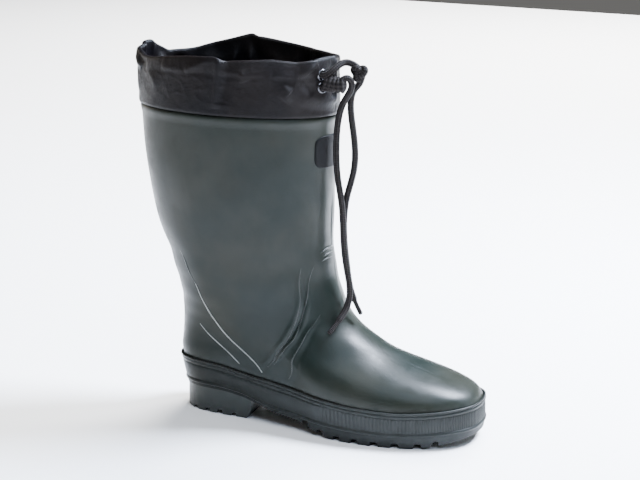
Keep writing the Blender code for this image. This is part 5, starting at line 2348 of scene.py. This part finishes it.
@dataclass
class Studio:
    """Floor, light and camera. The camera's values are those of a 640 by 480 picture."""

    azimuth: float = 17.98
    elevation: float = 14.19
    roll: float = 1.84
    distance: float = 1.52498
    focal_pixels: float = 1611.36
    width_pixels: float = 640.0
    height_pixels: float = 480.0
    target: tuple[float, float, float] = (0.12331, 0.0, 0.17378)
    target_pixel: tuple[float, float] = (313.79, 241.29)
    sensor: float = 36.0
    floor_size: float = 8.0
    floor_colour: Colour = (0.93, 0.93, 0.93)
    world_colour: Colour = (1.0, 0.985, 0.95)
    world_strength: float = 0.15

    def camera(self, form: BootForm) -> None:
        """Make the camera at the picture's angle.

        Args:
            form: The boot's shape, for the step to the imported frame.
        """
        azimuth, elevation = math.radians(self.azimuth), math.radians(self.elevation)
        level = math.cos(elevation)
        back = Vector((math.sin(azimuth) * level, -math.cos(azimuth) * level, math.sin(elevation)))
        data = bpy.data.cameras.new("camera")
        data.sensor_width = self.sensor
        data.lens = self.focal_pixels * self.sensor / self.width_pixels
        data.shift_x = (self.width_pixels / 2 - self.target_pixel[0]) / self.width_pixels
        data.shift_y = (self.target_pixel[1] - self.height_pixels / 2) / self.width_pixels
        made = bpy.data.objects.new("camera", data)
        made.location = Vector(self.target) + Vector(form.shift) + back * self.distance
        made.rotation_mode = "QUATERNION"
        turn = Quaternion((0, 0, 1), math.radians(self.roll))
        made.rotation_quaternion = (-back).to_track_quat("-Z", "Y") @ turn
        bpy.context.scene.collection.objects.link(made)
        bpy.context.scene.camera = made

    def lights(self) -> None:
        """Make the soft boxes and the pale surroundings."""
        for lamp in LAMPS:
            data = bpy.data.lights.new(lamp.name, "AREA")
            data.shape = "DISK"
            data.size = lamp.size
            data.energy = lamp.power
            data.color = lamp.colour
            made = bpy.data.objects.new(lamp.name, data)
            made.location = lamp.place
            made.visible_glossy = lamp.mirrored
            aim = Vector(lamp.aim) - Vector(lamp.place)
            made.rotation_mode = "QUATERNION"
            made.rotation_quaternion = aim.to_track_quat("-Z", "Y")
            bpy.context.scene.collection.objects.link(made)
        world = bpy.data.worlds.new("surroundings")
        world.use_nodes = True
        background = world.node_tree.nodes["Background"]
        background.inputs["Color"].default_value = (*self.world_colour, 1.0)
        background.inputs["Strength"].default_value = self.world_strength
        bpy.context.scene.world = world

    def floor(self) -> None:
        """Make the pale floor, which isn't part of the boot."""
        half = self.floor_size / 2
        mesh = bpy.data.meshes.new("floor")
        corners = [(-half, -half, 0), (half, -half, 0), (half, half, 0), (-half, half, 0)]
        mesh.from_pydata(corners, [], [(0, 1, 2, 3)])
        made = bpy.data.objects.new("floor", mesh)
        bpy.context.scene.collection.objects.link(made)
        material = bpy.data.materials.new("floor_paper")
        material.use_nodes = True
        shader = material.node_tree.nodes["Principled BSDF"]
        shader.inputs["Base Color"].default_value = (*self.floor_colour, 1.0)
        shader.inputs["Roughness"].default_value = 0.9
        mesh.materials.append(material)


def main() -> None:
    """Build the studio and every piece of the boot."""
    logging.basicConfig(level=logging.INFO, format="%(name)s %(message)s")
    form = BootForm()
    effects = Effects()
    studio = Studio()
    studio.camera(form)
    studio.lights()
    studio.floor()
    eyelets = Eyelets(form)
    drawcord = Drawcord(form, eyelets)
    drawcord.build(effects, Knot(form, drawcord).build(effects))
    eyelets.build(effects)
    upper = Upper(form)
    upper.build(effects)
    upper.build_lines(effects)
    FoxingBand(form).build(effects)
    Cuff(form).build(effects)
    BadgePlate(form).build(effects)
    Underfoot(form).build(effects)


if __name__ == "__main__":
    main()
